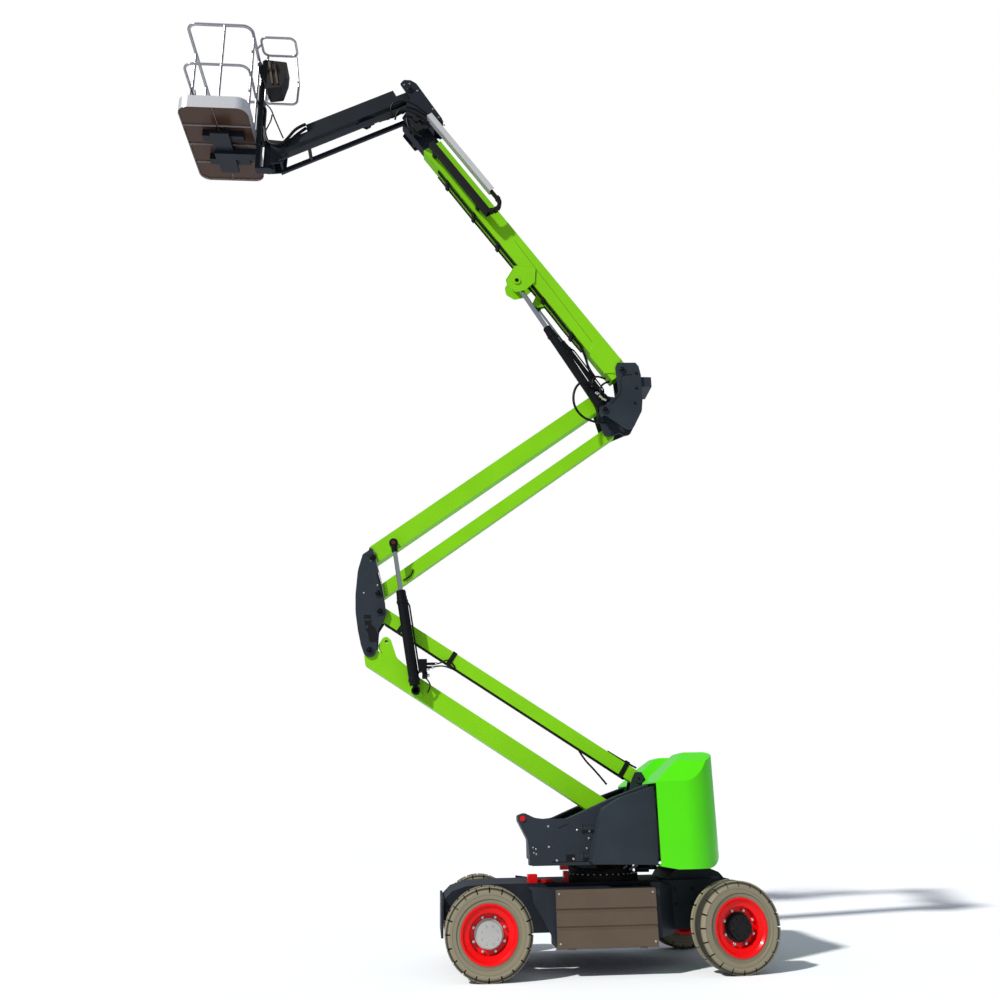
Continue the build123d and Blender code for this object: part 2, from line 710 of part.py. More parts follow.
for y0, y1 in ((-10, 10), (riser_y + inner, riser_y + inner + cheek)):
    bracket += slab(moved(riser_ear, pin_c), y0, y1)
web = [
    (100, -356), (198, -336), (198, -56), (180, 44), (148, 86), (120, 86),
]
bracket += slab(moved(web, pin_c), near_wall - cheek, riser_y + inner + cheek)
bracket += block(pin_c[0] + 180, pin_c[0] + 311, -160, 160, pin_c[1] - 176, pin_c[1] - 65)
for at in (pin_a2, pin_b2):
    bracket += pin(at, -10, riser_y + inner + cheek)
for at in (pin_c, lift_low):
    bracket += pin(at, near_wall - cheek, 10)
    bracket += pin(at, near_wall - cheek - 12, near_wall - cheek, 38)
bracket += pin(level_low, near_wall - cheek, 10, small_pin)
keep("top_bracket", bracket)


# Main boom
def boom_at(run, rise):
    return along(pin_c, boom_end, run, rise)


def boom_strip(run0, run1, rise0, rise1, y0, y1):
    return strip(pin_c, boom_end, run0, run1, rise0, rise1, y0, y1)


near_face = boom_y - arm_half
far_face = boom_y + arm_half
pad_run = boom_long - 90
pad_low = boom_low + fly_gap - 0.6
pad_top = boom_top - fly_gap + 0.6
outer = tube_arm(pin_c, boom_end, -30, boom_long, boom_low, boom_top, boom_y, arm_half, boom_wall)
outer += round_y(pin_c, 60, near_face, far_face)
pads = boom_strip(
    pad_run, pad_run + 80, boom_low + boom_wall, boom_top - boom_wall,
    near_face + boom_wall, far_face - boom_wall,
)
outer += pads - boom_strip(
    pad_run - 1, pad_run + 81, pad_low, pad_top,
    boom_y - fly_half - 0.6, boom_y + fly_half + 0.6,
)
foot = [(433, -42, 30), (416, 60, 30), (108, 81), (-25, -45), (92, -171, 30), (332, -172, 60)]
outer += slab([boom_at(*p[:2]) + p[2:] for p in foot], near_face - 4, near_face)
lug = [
    (159, -182, 20), (70, -371, 30), (-6, -405, 40), (-101, -367, 30), (-141, -268, 30),
    (-120, -128), (4, -18),
]
lug_thick = 13
for y0 in (near_face - lug_thick, far_face):
    outer += slab([boom_at(lift_run + p[0], p[1]) + p[2:] for p in lug], y0, y0 + lug_thick)
for y0, y1 in ((near_face - 24, lift_ram_y - 35), (lift_ram_y + 35, far_face + lug_thick)):
    outer += round_y(lift_high, 42, y0, y1)
level_lug = [(-73, -149), (-43, -240), (27, level_drop - 27, 20), (97, -149)]
for y0 in (level_ram_y - 30, level_ram_y + 20):
    outer += slab(
        [boom_at(level_run + p[0], p[1]) + p[2:] for p in level_lug], y0, y0 + 10
    )
outer = cut_round(outer, pin_c, near_face - 6, far_face)
keep("outer_boom", outer)

# Cable trough on the near side of the outer boom
tray_y0 = boom_y - 240
tray_y1 = boom_y - 158
trough_run = boom_long - 1139
trough_end = boom_long - 57
trough = boom_strip(trough_run, trough_end, -118, -56, tray_y0, tray_y1)
trough -= boom_strip(trough_run - 1, trough_end + 1, -112, -55, tray_y0 + 6, tray_y1 - 6)
for run in (trough_run + 159, trough_end - 103):
    trough += boom_strip(run, run + 40, -118, -60, tray_y1, near_face)
keep("cable_trough", trough)

# Inner boom with its head
fly_end = boom_long + 440
fly_low = boom_low + fly_gap
fly_top = boom_top - fly_gap
fly = tube_arm(pin_c, boom_end, 300, fly_end, fly_low, fly_top, boom_y, fly_half, 6)
fly += boom_strip(
    300, 380, boom_low + boom_wall + 0.6, boom_top - boom_wall - 0.6,
    near_face + boom_wall + 0.6, far_face - boom_wall - 0.6,
)
fly -= boom_strip(299, 381, fly_low + 6, fly_top - 6, boom_y - fly_half + 6, boom_y + fly_half - 6)
keep("fly_boom", fly)
head = [
    (66, 226, 20), (740, 268, 40), (815, 240, 30), (862, 177, 30), (840, 110, 20), (712, 100),
    (610, 90), (560, 10), (480, -60), (440, -137), (200, -137), (160, 90), (200, 190),
]
head_near = boom_y - 158
head_far = boom_y + 143
fly_head = None
for y0 in (head_near, head_far):
    wall = slab([boom_at(boom_long + p[0], p[1]) + p[2:] for p in head], y0, y0 + cheek)
    fly_head = wall if fly_head is None else fly_head + wall
fly_head += boom_strip(boom_long + 220, boom_long + 240, -137, 150, head_near + cheek, head_far)
top_skin = [(160, 214), (500, 236), (500, 252), (160, 231)]
fly_head += slab([boom_at(boom_long + r, h) for r, h in top_skin], head_near + cheek, head_far)
fly_head -= boom_strip(
    boom_long + 210, boom_long + 250, fly_low, fly_top, boom_y - fly_half, boom_y + fly_half
)
fly_head += pin(pin_p1, head_near, head_far + cheek)
fly_head += pin(pin_p1, head_near - 10, head_near, 40)
keep("fly_head", fly_head)

# Cable tray riding with the head, and the bent chain that follows at half the way
tray = boom_strip(boom_long - 927, boom_long + 260, 78, 140, tray_y0, tray_y1)
tray -= boom_strip(boom_long - 928, boom_long + 261, 84, 141, tray_y0 + 5, tray_y1 - 5)
keep("cable_tray", tray)
chain_y = (tray_y0 + 12, tray_y1 - 12)
bend_run = boom_long - 1040
bend_rise = 8
chain_out = 110
chain_in = 86
chain = boom_strip(
    bend_run, boom_long + 100, bend_rise + chain_in, bend_rise + chain_out, *chain_y
)
chain += boom_strip(
    bend_run, bend_run + 100, bend_rise - chain_out, bend_rise - chain_in, *chain_y
)
band = [(cos(radians(90 + 15 * k)), sin(radians(90 + 15 * k))) for k in range(13)]
loop = [boom_at(bend_run + chain_out * c, bend_rise + chain_out * t) for c, t in band]
loop += [boom_at(bend_run + chain_in * c, bend_rise + chain_in * t) for c, t in reversed(band)]
chain += slab(loop, *chain_y)
for k in range(7):
    turn = radians(90 + 30 * k)
    link = []
    for run, rise in ((-20, 80), (20, 80), (22, 119.4), (-22, 119.4)):
        c = cos(turn) * rise - sin(turn) * run
        t = sin(turn) * rise + cos(turn) * run
        link.append(boom_at(bend_run + c, bend_rise + t))
    chain += slab(link, chain_y[0] - 4, chain_y[1] + 4)
keep("cable_chain", chain)

# Head bracket, kept level, listed from the jib's pin
bracket_plate = [
    (-44, -20, 20), (-30, 36, 20), (10, 46, 20), (60, 20, 20), (70, -60),
    (60, -level_gap - 30, 20), (6, -level_gap - 40, 20), (-40, -level_gap - 24, 20),
]
level_head = None
for y0 in (boom_y - inner - cheek, boom_y + inner):
    wall = slab(moved(bracket_plate, pin_p1), y0, y0 + cheek)
    level_head = wall if level_head is None else level_head + wall
level_head += block(
    pin_p1[0] + 58, pin_p1[0] + 68, boom_y - inner, boom_y + inner,
    pin_p1[1] - level_gap - 10, pin_p1[1] - 40,
)
level_head += pin(jib_ram_low, boom_y - inner, boom_y + inner, small_pin)
rail_out = 132
level_head += pin(pin_p2, boom_y - rail_out - 4, boom_y + rail_out + 4, small_pin)
level_head = cut_round(level_head, pin_p1, boom_y - inner - cheek, boom_y + inner + cheek)
keep("head_bracket", level_head)

# Jib, slotted below for its ram
jib = tube_arm(pin_p1, pin_q1, -15, jib_length + 25, -50, 50, boom_y, arm_half, 6)
for at in (pin_p1, pin_q1):
    jib += round_y(at, 46, near_face, far_face)
for run0, run1, rise1, half in ((-60, 300, -32, 32), (480, 720, -43.9, 23)):
    jib -= strip(pin_p1, pin_q1, run0, run1, -60, rise1, boom_y - half, boom_y + half)
for y0 in (boom_y - 36, boom_y + 24):
    lug = [(520, -49), (570, -128, 15), (630, -134, 15), (690, -49)]
    jib += slab([along(pin_p1, pin_q1, *p[:2]) + p[2:] for p in lug], y0, y0 + 12)
for at in (pin_p1, pin_q1):
    jib = cut_round(jib, at, near_face, far_face)
keep("jib_boom", jib)
cover_end = jib_length - 358
jib_cover = strip(pin_p1, pin_q1, 150, cover_end, 50, 140, boom_y - 72, boom_y + 72)
jib_cover -= strip(pin_p1, pin_q1, 149, cover_end + 1, 50, 136, boom_y - 68, boom_y + 68)
keep("jib_cover", jib_cover)
rails = None
for y0 in (boom_y - rail_out, boom_y + rail_out - 32):
    rail = strip(pin_p2, pin_q2, -28, jib_length + 28, -25, 25, y0, y0 + 32)
    rails = rail if rails is None else rails + rail
cross = along(pin_p2, pin_q2, jib_length - 348, 0)
rails += round_y(cross, 20, boom_y - 110, boom_y + 110)
for at in (pin_p2, pin_q2):
    rails = cut_round(rails, at, boom_y - rail_out, boom_y + rail_out, small_bore)
keep("jib_link", rails)

# Support with the platform turner, listed from the jib's end pin
support_top = pin_q1[1] + 60
support_low = pin_q1[1] - level_gap - 60
support_plate = [
    (44, 10, 20), (10, 46, 20), (-60, 50, 20), (-122, 55), (-122, -255),
    (-24, -level_gap - 43, 20), (32, -level_gap - 22, 20), (36, -level_gap + 10, 20),
]
support = None
for y0 in (boom_y - inner - cheek, boom_y + inner):
    wall = slab(moved(support_plate, pin_q1), y0, y0 + cheek)
    support = wall if support is None else support + wall
support += block(
    turn_x + 23, turn_x + 63, boom_y - inner, boom_y + inner, support_low + 15, support_top - 10
)
support += round_z(turn_x, boom_y, yoke_radius + 5, support_low, support_top)
support += pin(pin_q1, boom_y - inner - cheek, boom_y + inner + cheek)
support += pin(pin_q2, boom_y - rail_out - 4, boom_y + rail_out + 4, small_pin)
support -= round_z(turn_x, boom_y, bore_radius, support_low - 5, support_top + 5)
keep("jib_support", support)

# Platform frame: yoke round the turner, column and beam under the floor
column_x = turn_x - 139
column_wide = 50
yoke_low = support_low - 27
yoke_top = support_top + 7
frame = block(
    column_x, column_x + column_wide, boom_y - 50, boom_y + 50, yoke_low, floor_z + rail_height + 19
)
box_x = column_x + 72
frame += block(
    column_x + 12, column_x + 52, -420, boom_y - 50, floor_z + 819, floor_z + 869
)
frame += block(column_x + 52, box_x, -390, -250, floor_z + 819, floor_z + 869)
for z in (yoke_low, yoke_top):
    frame += block(column_x + 10, turn_x, boom_y - 50, boom_y + 50, z, z + 20)
    frame += round_z(turn_x, boom_y, yoke_radius, z, z + 20)
frame += round_z(turn_x, boom_y, pin_radius, yoke_low + 10, yoke_top + 10)
floor_x0 = floor_x - floor_deep / 2
floor_x1 = floor_x + floor_deep / 2
floor_y0 = floor_y - floor_long / 2
floor_y1 = floor_y + floor_long / 2
beam_z = floor_z - 61
frame += block(floor_x - 71, column_x, boom_y - 50, boom_y + 50, beam_z - 80, beam_z)
for y in (-330, 60):
    frame += block(floor_x - 171, floor_x + 269, y, y + 90, beam_z, floor_z + 20)
frame += block(floor_x - 71, floor_x + 129, -420, 240, beam_z - 40, beam_z)
keep("platform_frame", frame)

# Floor pan with its toe board and a deck plate inside the posts
pan_wall = 5
pan_depth = 150
deck_inset = 42
pan = RectangleRounded(floor_deep, floor_long, floor_corner)
pan_in = RectangleRounded(
    floor_deep - 2 * pan_wall, floor_long - 2 * pan_wall, floor_corner - pan_wall
)
deck = RectangleRounded(
    floor_deep - 2 * deck_inset, floor_long - 2 * deck_inset, floor_corner - deck_inset
)
floor = Pos(floor_x, floor_y, floor_z) * extrude(pan, pan_depth)
floor -= Pos(floor_x, floor_y, floor_z + 30) * extrude(pan_in, pan_depth)
floor -= Pos(floor_x, floor_y, floor_z - 1) * extrude(pan_in, 21)
floor += Pos(floor_x, floor_y, floor_z + 30) * extrude(deck, 4)
for step in range(1, 4):
    y = floor_y0 + step * floor_long / 4
    floor += block(floor_x0 + 4, floor_x1 - 4, y - 6, y + 6, floor_z + 2, floor_z + 22)
floor += block(floor_x - 6, floor_x + 6, floor_y0 + 4, floor_y1 - 4, floor_z + 2, floor_z + 22)
for y in (-330, 60):
    floor -= block(
        floor_x - 171.5, floor_x + 269.5, y - 0.5, y + 90.5, floor_z - 1, floor_z + 20.3
    )
keep("platform_floor", floor)

# Rails
inset = pan_wall + rail_radius
rail_top = floor_z + rail_height
rails = ring_hoop(
    floor_x0 + inset, floor_x1 - inset, floor_y0 + inset, floor_y1 - inset,
    rail_top - rail_radius, floor_corner - 20, rail_radius,
)
rails += ring_hoop(
    floor_x0 + inset, floor_x1 - inset, floor_y0 + inset, floor_y1 - inset,
    floor_z + 580, floor_corner - 20, rail_radius - 3,
)
posts = (
    (floor_x + 60, floor_y0 + inset), (floor_x0 + inset, floor_y0 + 450),
    (floor_x0 + inset, floor_y1 - 250), (floor_x, floor_y1 - inset),
    (floor_x1 - inset, floor_y0 + 180), (floor_x1 - inset, floor_y1 - 250),
    (floor_x1 - inset, boom_y + 90), (floor_x1 - inset, boom_y - 90),
)
for x, y in posts:
    rails += round_z(x, y, rail_radius - 2, floor_z + 30, rail_top - rail_radius)

# Control box with its guard loops
box_y0 = -450
box_y1 = -180
guard_z = rail_top + 59
box_shape = [
    (0, 909, 20), (256, 884, 20), (252, 740), (205, 545, 20), (60, 519, 20), (0, 669),
]
keep("control_box", slab(moved(box_shape, (box_x, floor_z)), box_y0 + 30, box_y1 - 20))
guard_x0 = column_x + 22
guard_x1 = column_x + 402
rails += ring_hoop(guard_x0, guard_x1, box_y0, box_y1, guard_z, 70, 13)
rails += hoop(
    [(guard_x1 - 16, box_y1, guard_z - 10), (guard_x1 + 30, box_y1, guard_z - 410),
     (guard_x1 + 20, box_y1, guard_z - 670), (column_x + 67, box_y1, guard_z - 670),
     (column_x + 67, box_y1, guard_z - 10)], 60, 12,
)
guard_y = box_y0 + 100
rails += stick(
    (guard_x0, guard_y, guard_z), (floor_x1 - inset, guard_y, rail_top - rail_radius), 12
)
keep("platform_rails", rails)

os.makedirs("parts", exist_ok=True)
for name, shape in parts.items():
    export_step(Pos(middle_x, 0, 0) * shape, "parts/" + name + ".step")
print(len(parts), "parts")
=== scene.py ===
import bmesh
import bpy
import json
from math import cos, pi, radians, sin
from mathutils import Matrix, Vector


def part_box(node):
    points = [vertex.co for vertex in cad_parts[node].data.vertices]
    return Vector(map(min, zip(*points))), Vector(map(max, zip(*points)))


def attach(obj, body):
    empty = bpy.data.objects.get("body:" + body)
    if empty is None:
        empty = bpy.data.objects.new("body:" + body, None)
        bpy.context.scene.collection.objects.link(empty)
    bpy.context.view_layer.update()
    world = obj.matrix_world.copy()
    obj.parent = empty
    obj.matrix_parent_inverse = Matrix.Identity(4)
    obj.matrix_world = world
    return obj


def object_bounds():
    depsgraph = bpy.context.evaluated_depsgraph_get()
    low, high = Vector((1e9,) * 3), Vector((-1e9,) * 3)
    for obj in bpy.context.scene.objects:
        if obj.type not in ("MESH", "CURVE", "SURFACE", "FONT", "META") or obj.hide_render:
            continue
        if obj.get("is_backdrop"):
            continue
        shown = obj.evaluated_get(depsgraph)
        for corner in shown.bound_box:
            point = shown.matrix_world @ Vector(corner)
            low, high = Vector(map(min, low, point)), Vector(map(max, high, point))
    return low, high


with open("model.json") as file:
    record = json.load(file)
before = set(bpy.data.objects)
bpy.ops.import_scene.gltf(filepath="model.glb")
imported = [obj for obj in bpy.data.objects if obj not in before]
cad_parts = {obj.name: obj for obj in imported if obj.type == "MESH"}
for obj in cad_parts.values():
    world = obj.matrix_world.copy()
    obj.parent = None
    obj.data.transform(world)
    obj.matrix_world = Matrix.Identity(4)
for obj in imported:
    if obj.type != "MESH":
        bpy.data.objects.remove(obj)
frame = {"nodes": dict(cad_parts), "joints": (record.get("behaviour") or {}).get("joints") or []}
cadLow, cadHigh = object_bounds()
nodes = frame["nodes"]
joints = {joint["name"]: joint for joint in frame["joints"]}
scene = bpy.context.scene
scene.view_settings.view_transform = "Standard"


# Paints and surfaces, all procedural
def surface(name, color, rough, metal=0.0, coat=0.0, mottle=0.0, grain=0.0, grainScale=60.0, dust=0.0,
            shine=0.2):
    made = bpy.data.materials.new(name)
    made.use_nodes = True
    tree = made.node_tree
    shader = tree.nodes["Principled BSDF"]
    shader.inputs["Base Color"].default_value = (*color, 1)
    shader.inputs["Roughness"].default_value = rough
    shader.inputs["Metallic"].default_value = metal
    shader.inputs["Specular IOR Level"].default_value = shine
    shader.inputs["Coat Weight"].default_value = coat
    shader.inputs["Coat Roughness"].default_value = 0.12
    made.diffuse_color = (*color, 1)
    where = tree.nodes.new("ShaderNodeTexCoord")
    if mottle or dust:
        cloud = tree.nodes.new("ShaderNodeTexNoise")
        cloud.inputs["Scale"].default_value = 2.6
        cloud.inputs["Detail"].default_value = 6
        tree.links.new(where.outputs["Object"], cloud.inputs["Vector"])
        ramp = tree.nodes.new("ShaderNodeValToRGB")
        ramp.color_ramp.elements[0].position = 0.35
        ramp.color_ramp.elements[1].position = 0.75
        tree.links.new(cloud.outputs["Fac"], ramp.inputs["Fac"])
        low = [c * (1 - mottle) for c in color]
        high = [min(1, c * (1 + mottle) + dust * 0.3) for c in color]
        ramp.color_ramp.elements[0].color = (*low, 1)
        ramp.color_ramp.elements[1].color = (*high, 1)
        tree.links.new(ramp.outputs["Color"], shader.inputs["Base Color"])
    if grain:
        fine = tree.nodes.new("ShaderNodeTexNoise")
        fine.inputs["Scale"].default_value = grainScale
        fine.inputs["Detail"].default_value = 3
        tree.links.new(where.outputs["Object"], fine.inputs["Vector"])
        bump = tree.nodes.new("ShaderNodeBump")
        bump.inputs["Strength"].default_value = grain
        bump.inputs["Distance"].default_value = 0.002
        tree.links.new(fine.outputs["Fac"], bump.inputs["Height"])
        tree.links.new(bump.outputs["Normal"], shader.inputs["Normal"])
    return made


armGreen = surface("armGreen", (0.2, 0.56, 0.004), 0.42, coat=0.05, mottle=0.05)
hoodGreen = surface("hoodGreen", (0.075, 0.66, 0.0005), 0.3, coat=0.25, mottle=0.03)
slate = surface("slate", (0.02, 0.028, 0.038), 0.5, mottle=0.16, grain=0.12)
chassisGrey = surface("chassisGrey", (0.014, 0.019, 0.027), 0.5, mottle=0.2, grain=0.15, dust=0.012)
jibGrey = surface("jibGrey", (0.01, 0.014, 0.021), 0.42, mottle=0.2, grain=0.1)
bronze = surface("bronze", (0.115, 0.085, 0.062), 0.4, metal=0.35, mottle=0.08, grain=0.1)
pinRed = surface("pinRed", (0.12, 0.025, 0.025), 0.4, metal=0.4, mottle=0.2)
redPaint = surface("redPaint", (0.72, 0.0, 0.001), 0.34, coat=0.08, mottle=0.05)
ringSteel = surface("ringSteel", (0.03, 0.027, 0.025), 0.6, metal=0.4, mottle=0.3, grain=0.3)
blackSteel = surface("blackSteel", (0.0035, 0.004, 0.006), 0.35, mottle=0.2)
blackPlastic = surface("blackPlastic", (0.005, 0.005, 0.006), 0.5, mottle=0.2, grain=0.15)
hoseRubber = surface("hoseRubber", (0.003, 0.003, 0.0035), 0.45, mottle=0.2)
chrome = surface("chrome", (0.62, 0.63, 0.66), 0.12, metal=1.0)
hubSilver = surface("hubSilver", (0.42, 0.42, 0.41), 0.4, metal=0.3, mottle=0.08, grain=0.15)
zinc = surface("zinc", (0.5, 0.51, 0.52), 0.3, metal=0.9, mottle=0.1)
whiteAluminium = surface("whiteAluminium", (0.55, 0.55, 0.57), 0.4, metal=0.2, mottle=0.04)
railSteel = surface("railSteel", (0.42, 0.42, 0.45), 0.3, metal=0.7, mottle=0.08)
lampRed = surface("lampRed", (0.6, 0.0, 0.004), 0.15, coat=0.6)
batteryBlack = surface("batteryBlack", (0.012, 0.012, 0.014), 0.6, mottle=0.15)
portYellow = surface("portYellow", (0.5, 0.42, 0.01), 0.4, mottle=0.05)


# Dusty rubber with painted shade: dark rings by distance from the middle in the groove and in the gaps
# between the lugs; also darker near the rim, with slightly lighter rings beside the dark ones
def tyreSurface(name, middle):
    made = surface(name, (0.21, 0.19, 0.13), 0.82, grain=0.3, grainScale=90)
    tree = made.node_tree
    shader = tree.nodes["Principled BSDF"]
    where = tree.nodes.new("ShaderNodeTexCoord")
    shift = tree.nodes.new("ShaderNodeVectorMath")
    shift.operation = "SUBTRACT"
    shift.inputs[1].default_value = middle
    flat = tree.nodes.new("ShaderNodeVectorMath")
    flat.operation = "MULTIPLY"
    flat.inputs[1].default_value = (1, 0, 1)
    reach = tree.nodes.new("ShaderNodeVectorMath")
    reach.operation = "LENGTH"
    ramp = tree.nodes.new("ShaderNodeValToRGB")
    steps = ramp.color_ramp.elements
    steps[0].position = 0.225
    steps[0].color = (0.12, 0.105, 0.075, 1)
    steps[1].position = 0.25
    steps[1].color = (0.21, 0.19, 0.13, 1)
    # Painted shade: these dark rings stand for the shade in the groove and between the lugs
    for spot, shade in ((0.291, (0.21, 0.19, 0.13, 1)), (0.294, (0.1, 0.09, 0.07, 1)),
                        (0.298, (0.23, 0.21, 0.145, 1)), (0.325, (0.21, 0.19, 0.13, 1)),
                        (0.336, (0.03, 0.028, 0.022, 1)), (0.344, (0.03, 0.028, 0.022, 1)),
                        (0.349, (0.23, 0.21, 0.145, 1))):
        steps.new(spot).color = shade
    tree.links.new(where.outputs["Object"], shift.inputs[0])
    tree.links.new(shift.outputs["Vector"], flat.inputs[0])
    tree.links.new(flat.outputs["Vector"], reach.inputs[0])
    tree.links.new(reach.outputs["Value"], ramp.inputs["Fac"])
    tree.links.new(ramp.outputs["Color"], shader.inputs["Base Color"])
    return made


# Bright tread plate with raised spots; painted shade where it faces the ground: dark brown and less metallic
# on the faces that point down
def treadSurface(name):
    made = surface(name, (0.42, 0.42, 0.44), 0.3)
    tree = made.node_tree
    shader = tree.nodes["Principled BSDF"]
    shape = tree.nodes.new("ShaderNodeNewGeometry")
    split = tree.nodes.new("ShaderNodeSeparateXYZ")
    facing = tree.nodes.new("ShaderNodeMapRange")
    facing.inputs["From Min"].default_value = -1
    tree.links.new(shape.outputs["Normal"], split.inputs["Vector"])
    tree.links.new(split.outputs["Z"], facing.inputs["Value"])
    # Painted shade: the faces that point down get the dark colour
    for socket, below, above in (
        ("Base Color", (0.06, 0.03, 0.02, 1), (0.62, 0.63, 0.66, 1)),
        ("Metallic", (0.1, 0.1, 0.1, 1), (0.4, 0.4, 0.4, 1)),
    ):
        ramp = tree.nodes.new("ShaderNodeValToRGB")
        ramp.color_ramp.interpolation = "CONSTANT"
        ramp.color_ramp.elements[0].color = below
        ramp.color_ramp.elements[1].position = 0.2
        ramp.color_ramp.elements[1].color = above
        tree.links.new(facing.outputs["Result"], ramp.inputs["Fac"])
        tree.links.new(ramp.outputs["Color"], shader.inputs[socket])
    where = tree.nodes.new("ShaderNodeTexCoord")
    spots = tree.nodes.new("ShaderNodeTexVoronoi")
    spots.inputs["Scale"].default_value = 46
    bump = tree.nodes.new("ShaderNodeBump")
    bump.inputs["Strength"].default_value = 0.25
    bump.inputs["Distance"].default_value = 0.002
    bump.invert = True
    tree.links.new(where.outputs["Object"], spots.inputs["Vector"])
    tree.links.new(spots.outputs["Distance"], bump.inputs["Height"])
    tree.links.new(bump.outputs["Normal"], shader.inputs["Normal"])
    return made


treadPlate = treadSurface("treadPlate")
coats = [
    (armGreen, "lower_arm lower_link upper_arm upper_link outer_boom"),
    (hoodGreen, "counterweight_hood"),
    (slate, "turret_bed turret_sides turret_cover_near turret_cover_far riser_knuckle top_bracket"),
    (jibGrey, "fly_boom fly_head head_bracket jib_boom jib_cover jib_link jib_support platform_frame"),
    (chassisGrey, "chassis_frame tray_cases drive_axle steer_axle knuckle_steer_near knuckle_steer_far"),
    (bronze, "tray_front_near tray_front_far"),
    (redPaint, "deck_lock rim_drive_near rim_drive_far rim_steer_near rim_steer_far"),
    (ringSteel, "slew_ring counterweight_cast"),
    (blackSteel, "riser_ram_barrel lift_ram_barrel level_ram_barrel jib_ram_barrel"),
    (blackPlastic, "cable_trough cable_chain control_box hub_steer_near hub_steer_far"),
    (chrome, "riser_ram_rod lift_ram_rod level_ram_rod jib_ram_rod"),
    (hubSilver, "hub_drive_near hub_drive_far"),
    (treadPlate, "platform_floor"),
    (whiteAluminium, "cable_tray"),
    (railSteel, "platform_rails"),
    (lampRed, "turret_lamps"),
    (batteryBlack, "battery_packs"),
]
for wheel in ("drive_near", "drive_far", "steer_near", "steer_far"):
    low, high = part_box("tyre_" + wheel)
    middle = [(a + b) / 2 for a, b in zip(low, high)]
    coats.append((tyreSurface("tyreRubber_" + wheel, middle), "tyre_" + wheel))
for made, names in coats:
    for name in names.split():
        nodes[name].data.materials.clear()
        nodes[name].data.materials.append(made)
print("surfaces done")

# Soft edges on the frame's plates, kept inside the CAD box
for name, thing in nodes.items():
    if name in ("platform_rails", "cable_chain"):
        continue
    edge = thing.modifiers.new("edge", "BEVEL")
    edge.width = 0.03 if name == "counterweight_hood" else 0.0025
    edge.segments = 4 if name == "counterweight_hood" else 2
    edge.limit_method = "ANGLE"
    edge.angle_limit = radians(25 if name == "counterweight_hood" else 32)
print("edges done")


# Mesh helpers: every piece is built up in one mesh, then put on its body
def put(name, build, coat, body, bevel=0.0):
    bmesh.ops.recalc_face_normals(build, faces=build.faces)
    data = bpy.data.meshes.new(name)
    build.to_mesh(data)
    build.free()
    for face in data.polygons:
        face.use_smooth = True
    data.set_sharp_from_angle(angle=radians(35))
    data.materials.append(coat)
    thing = bpy.data.objects.new(name, data)
    scene.collection.objects.link(thing)
    if bevel:
        edge = thing.modifiers.new("edge", "BEVEL")
        edge.width = bevel
        edge.segments = 2
        edge.limit_method = "ANGLE"
        edge.angle_limit = radians(35)
    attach(thing, body)
    return thing


def addRod(build, start, end, radius, sides=20, endRadius=None):
    start, end = Vector(start), Vector(end)
    turn = (end - start).to_track_quat("Z", "Y")
    rings = []
    for spot, size in ((start, radius), (end, radius if endRadius is None else endRadius)):
        ring = []
        for k in range(sides):
            angle = 2 * pi * k / sides
            ring.append(build.verts.new(spot + turn @ Vector((cos(angle) * size, sin(angle) * size, 0))))
        rings.append(ring)
    build.faces.new(reversed(rings[0]))
    build.faces.new(rings[1])
    for k in range(sides):
        m = (k + 1) % sides
        build.faces.new((rings[0][k], rings[0][m], rings[1][m], rings[1][k]))


# A flat outline in x and z, thick along y
def addPlate(build, outline, y0, y1):
    sheets = [[build.verts.new((x, y, z)) for x, z in outline] for y in (y0, y1)]
    build.faces.new(sheets[0])
    build.faces.new(reversed(sheets[1]))
    for k in range(len(outline)):
        m = (k + 1) % len(outline)
        build.faces.new((sheets[0][k], sheets[0][m], sheets[1][m], sheets[1][k]))


def addBox(build, low, high):
    addPlate(build, [(low[0], low[2]), (high[0], low[2]), (high[0], high[2]), (low[0], high[2])],
             low[1], high[1])


# Hexagon head on a round washer, standing along a direction
def addBolt(build, spot, out, size=0.012):
    spot, out = Vector(spot), Vector(out).normalized()
    addRod(build, spot, spot + out * size * 0.25, size * 1.25, 16)
    addRod(build, spot + out * size * 0.25, spot + out * size * 0.95, size, 6)


def hoses(name, routes, radius, coat, body):
    data = bpy.data.curves.new(name, "CURVE")
    data.dimensions = "3D"
    data.bevel_depth = radius
    data.bevel_resolution = 2
    data.resolution_u = 6
    data.use_fill_caps = True
    for route in routes:
        line = data.splines.new("NURBS")
        line.points.add(len(route) - 1)
        for spot, point in zip(line.points, route):
            spot.co = (*point, 1)
        line.order_u = 3
        line.use_endpoint_u = True
    data.materials.append(coat)
    thing = bpy.data.objects.new(name, data)
    scene.collection.objects.link(thing)
    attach(thing, body)


# Places along an arm, from its first pin: run along it, rise above it
def along(start, end, run, rise, y):
    ahead = Vector((end.x - start.x, 0, end.z - start.z)).normalized()
    above = Vector((-ahead.z, 0, ahead.x))
    if above.z < 0:
        above = -above
    spot = start + ahead * run + above * rise
    return Vector((spot.x, y, spot.z))


def pivot(name):
    return Vector(joints[name]["pos_m"])


pinT1, pinT2 = pivot("riser_lift"), pivot("lower_link_turn")
pinK1, pinA1, pinB1 = pivot("knuckle_turn"), pivot("upper_arm_turn"), pivot("upper_link_turn")
pinC, pinP1, pinQ1 = pivot("boom_lift"), pivot("jib_lift"), pivot("support_turn")
pinK2 = pinT2 + pinK1 - pinT1
boomLength, boomHalf, knuckleHalf = 3.4, 0.075, 0.095
boomWay = Vector(joints["telescope"]["axis"])
boomEnd = pinC + boomWay * boomLength
riserY, boomY = pinT1.y, pinC.y
boomFace = boomY - boomHalf
knuckleFace = riserY - knuckleHalf


def boomAt(run, rise, y):
    return along(pinC, boomEnd, run, rise, y)


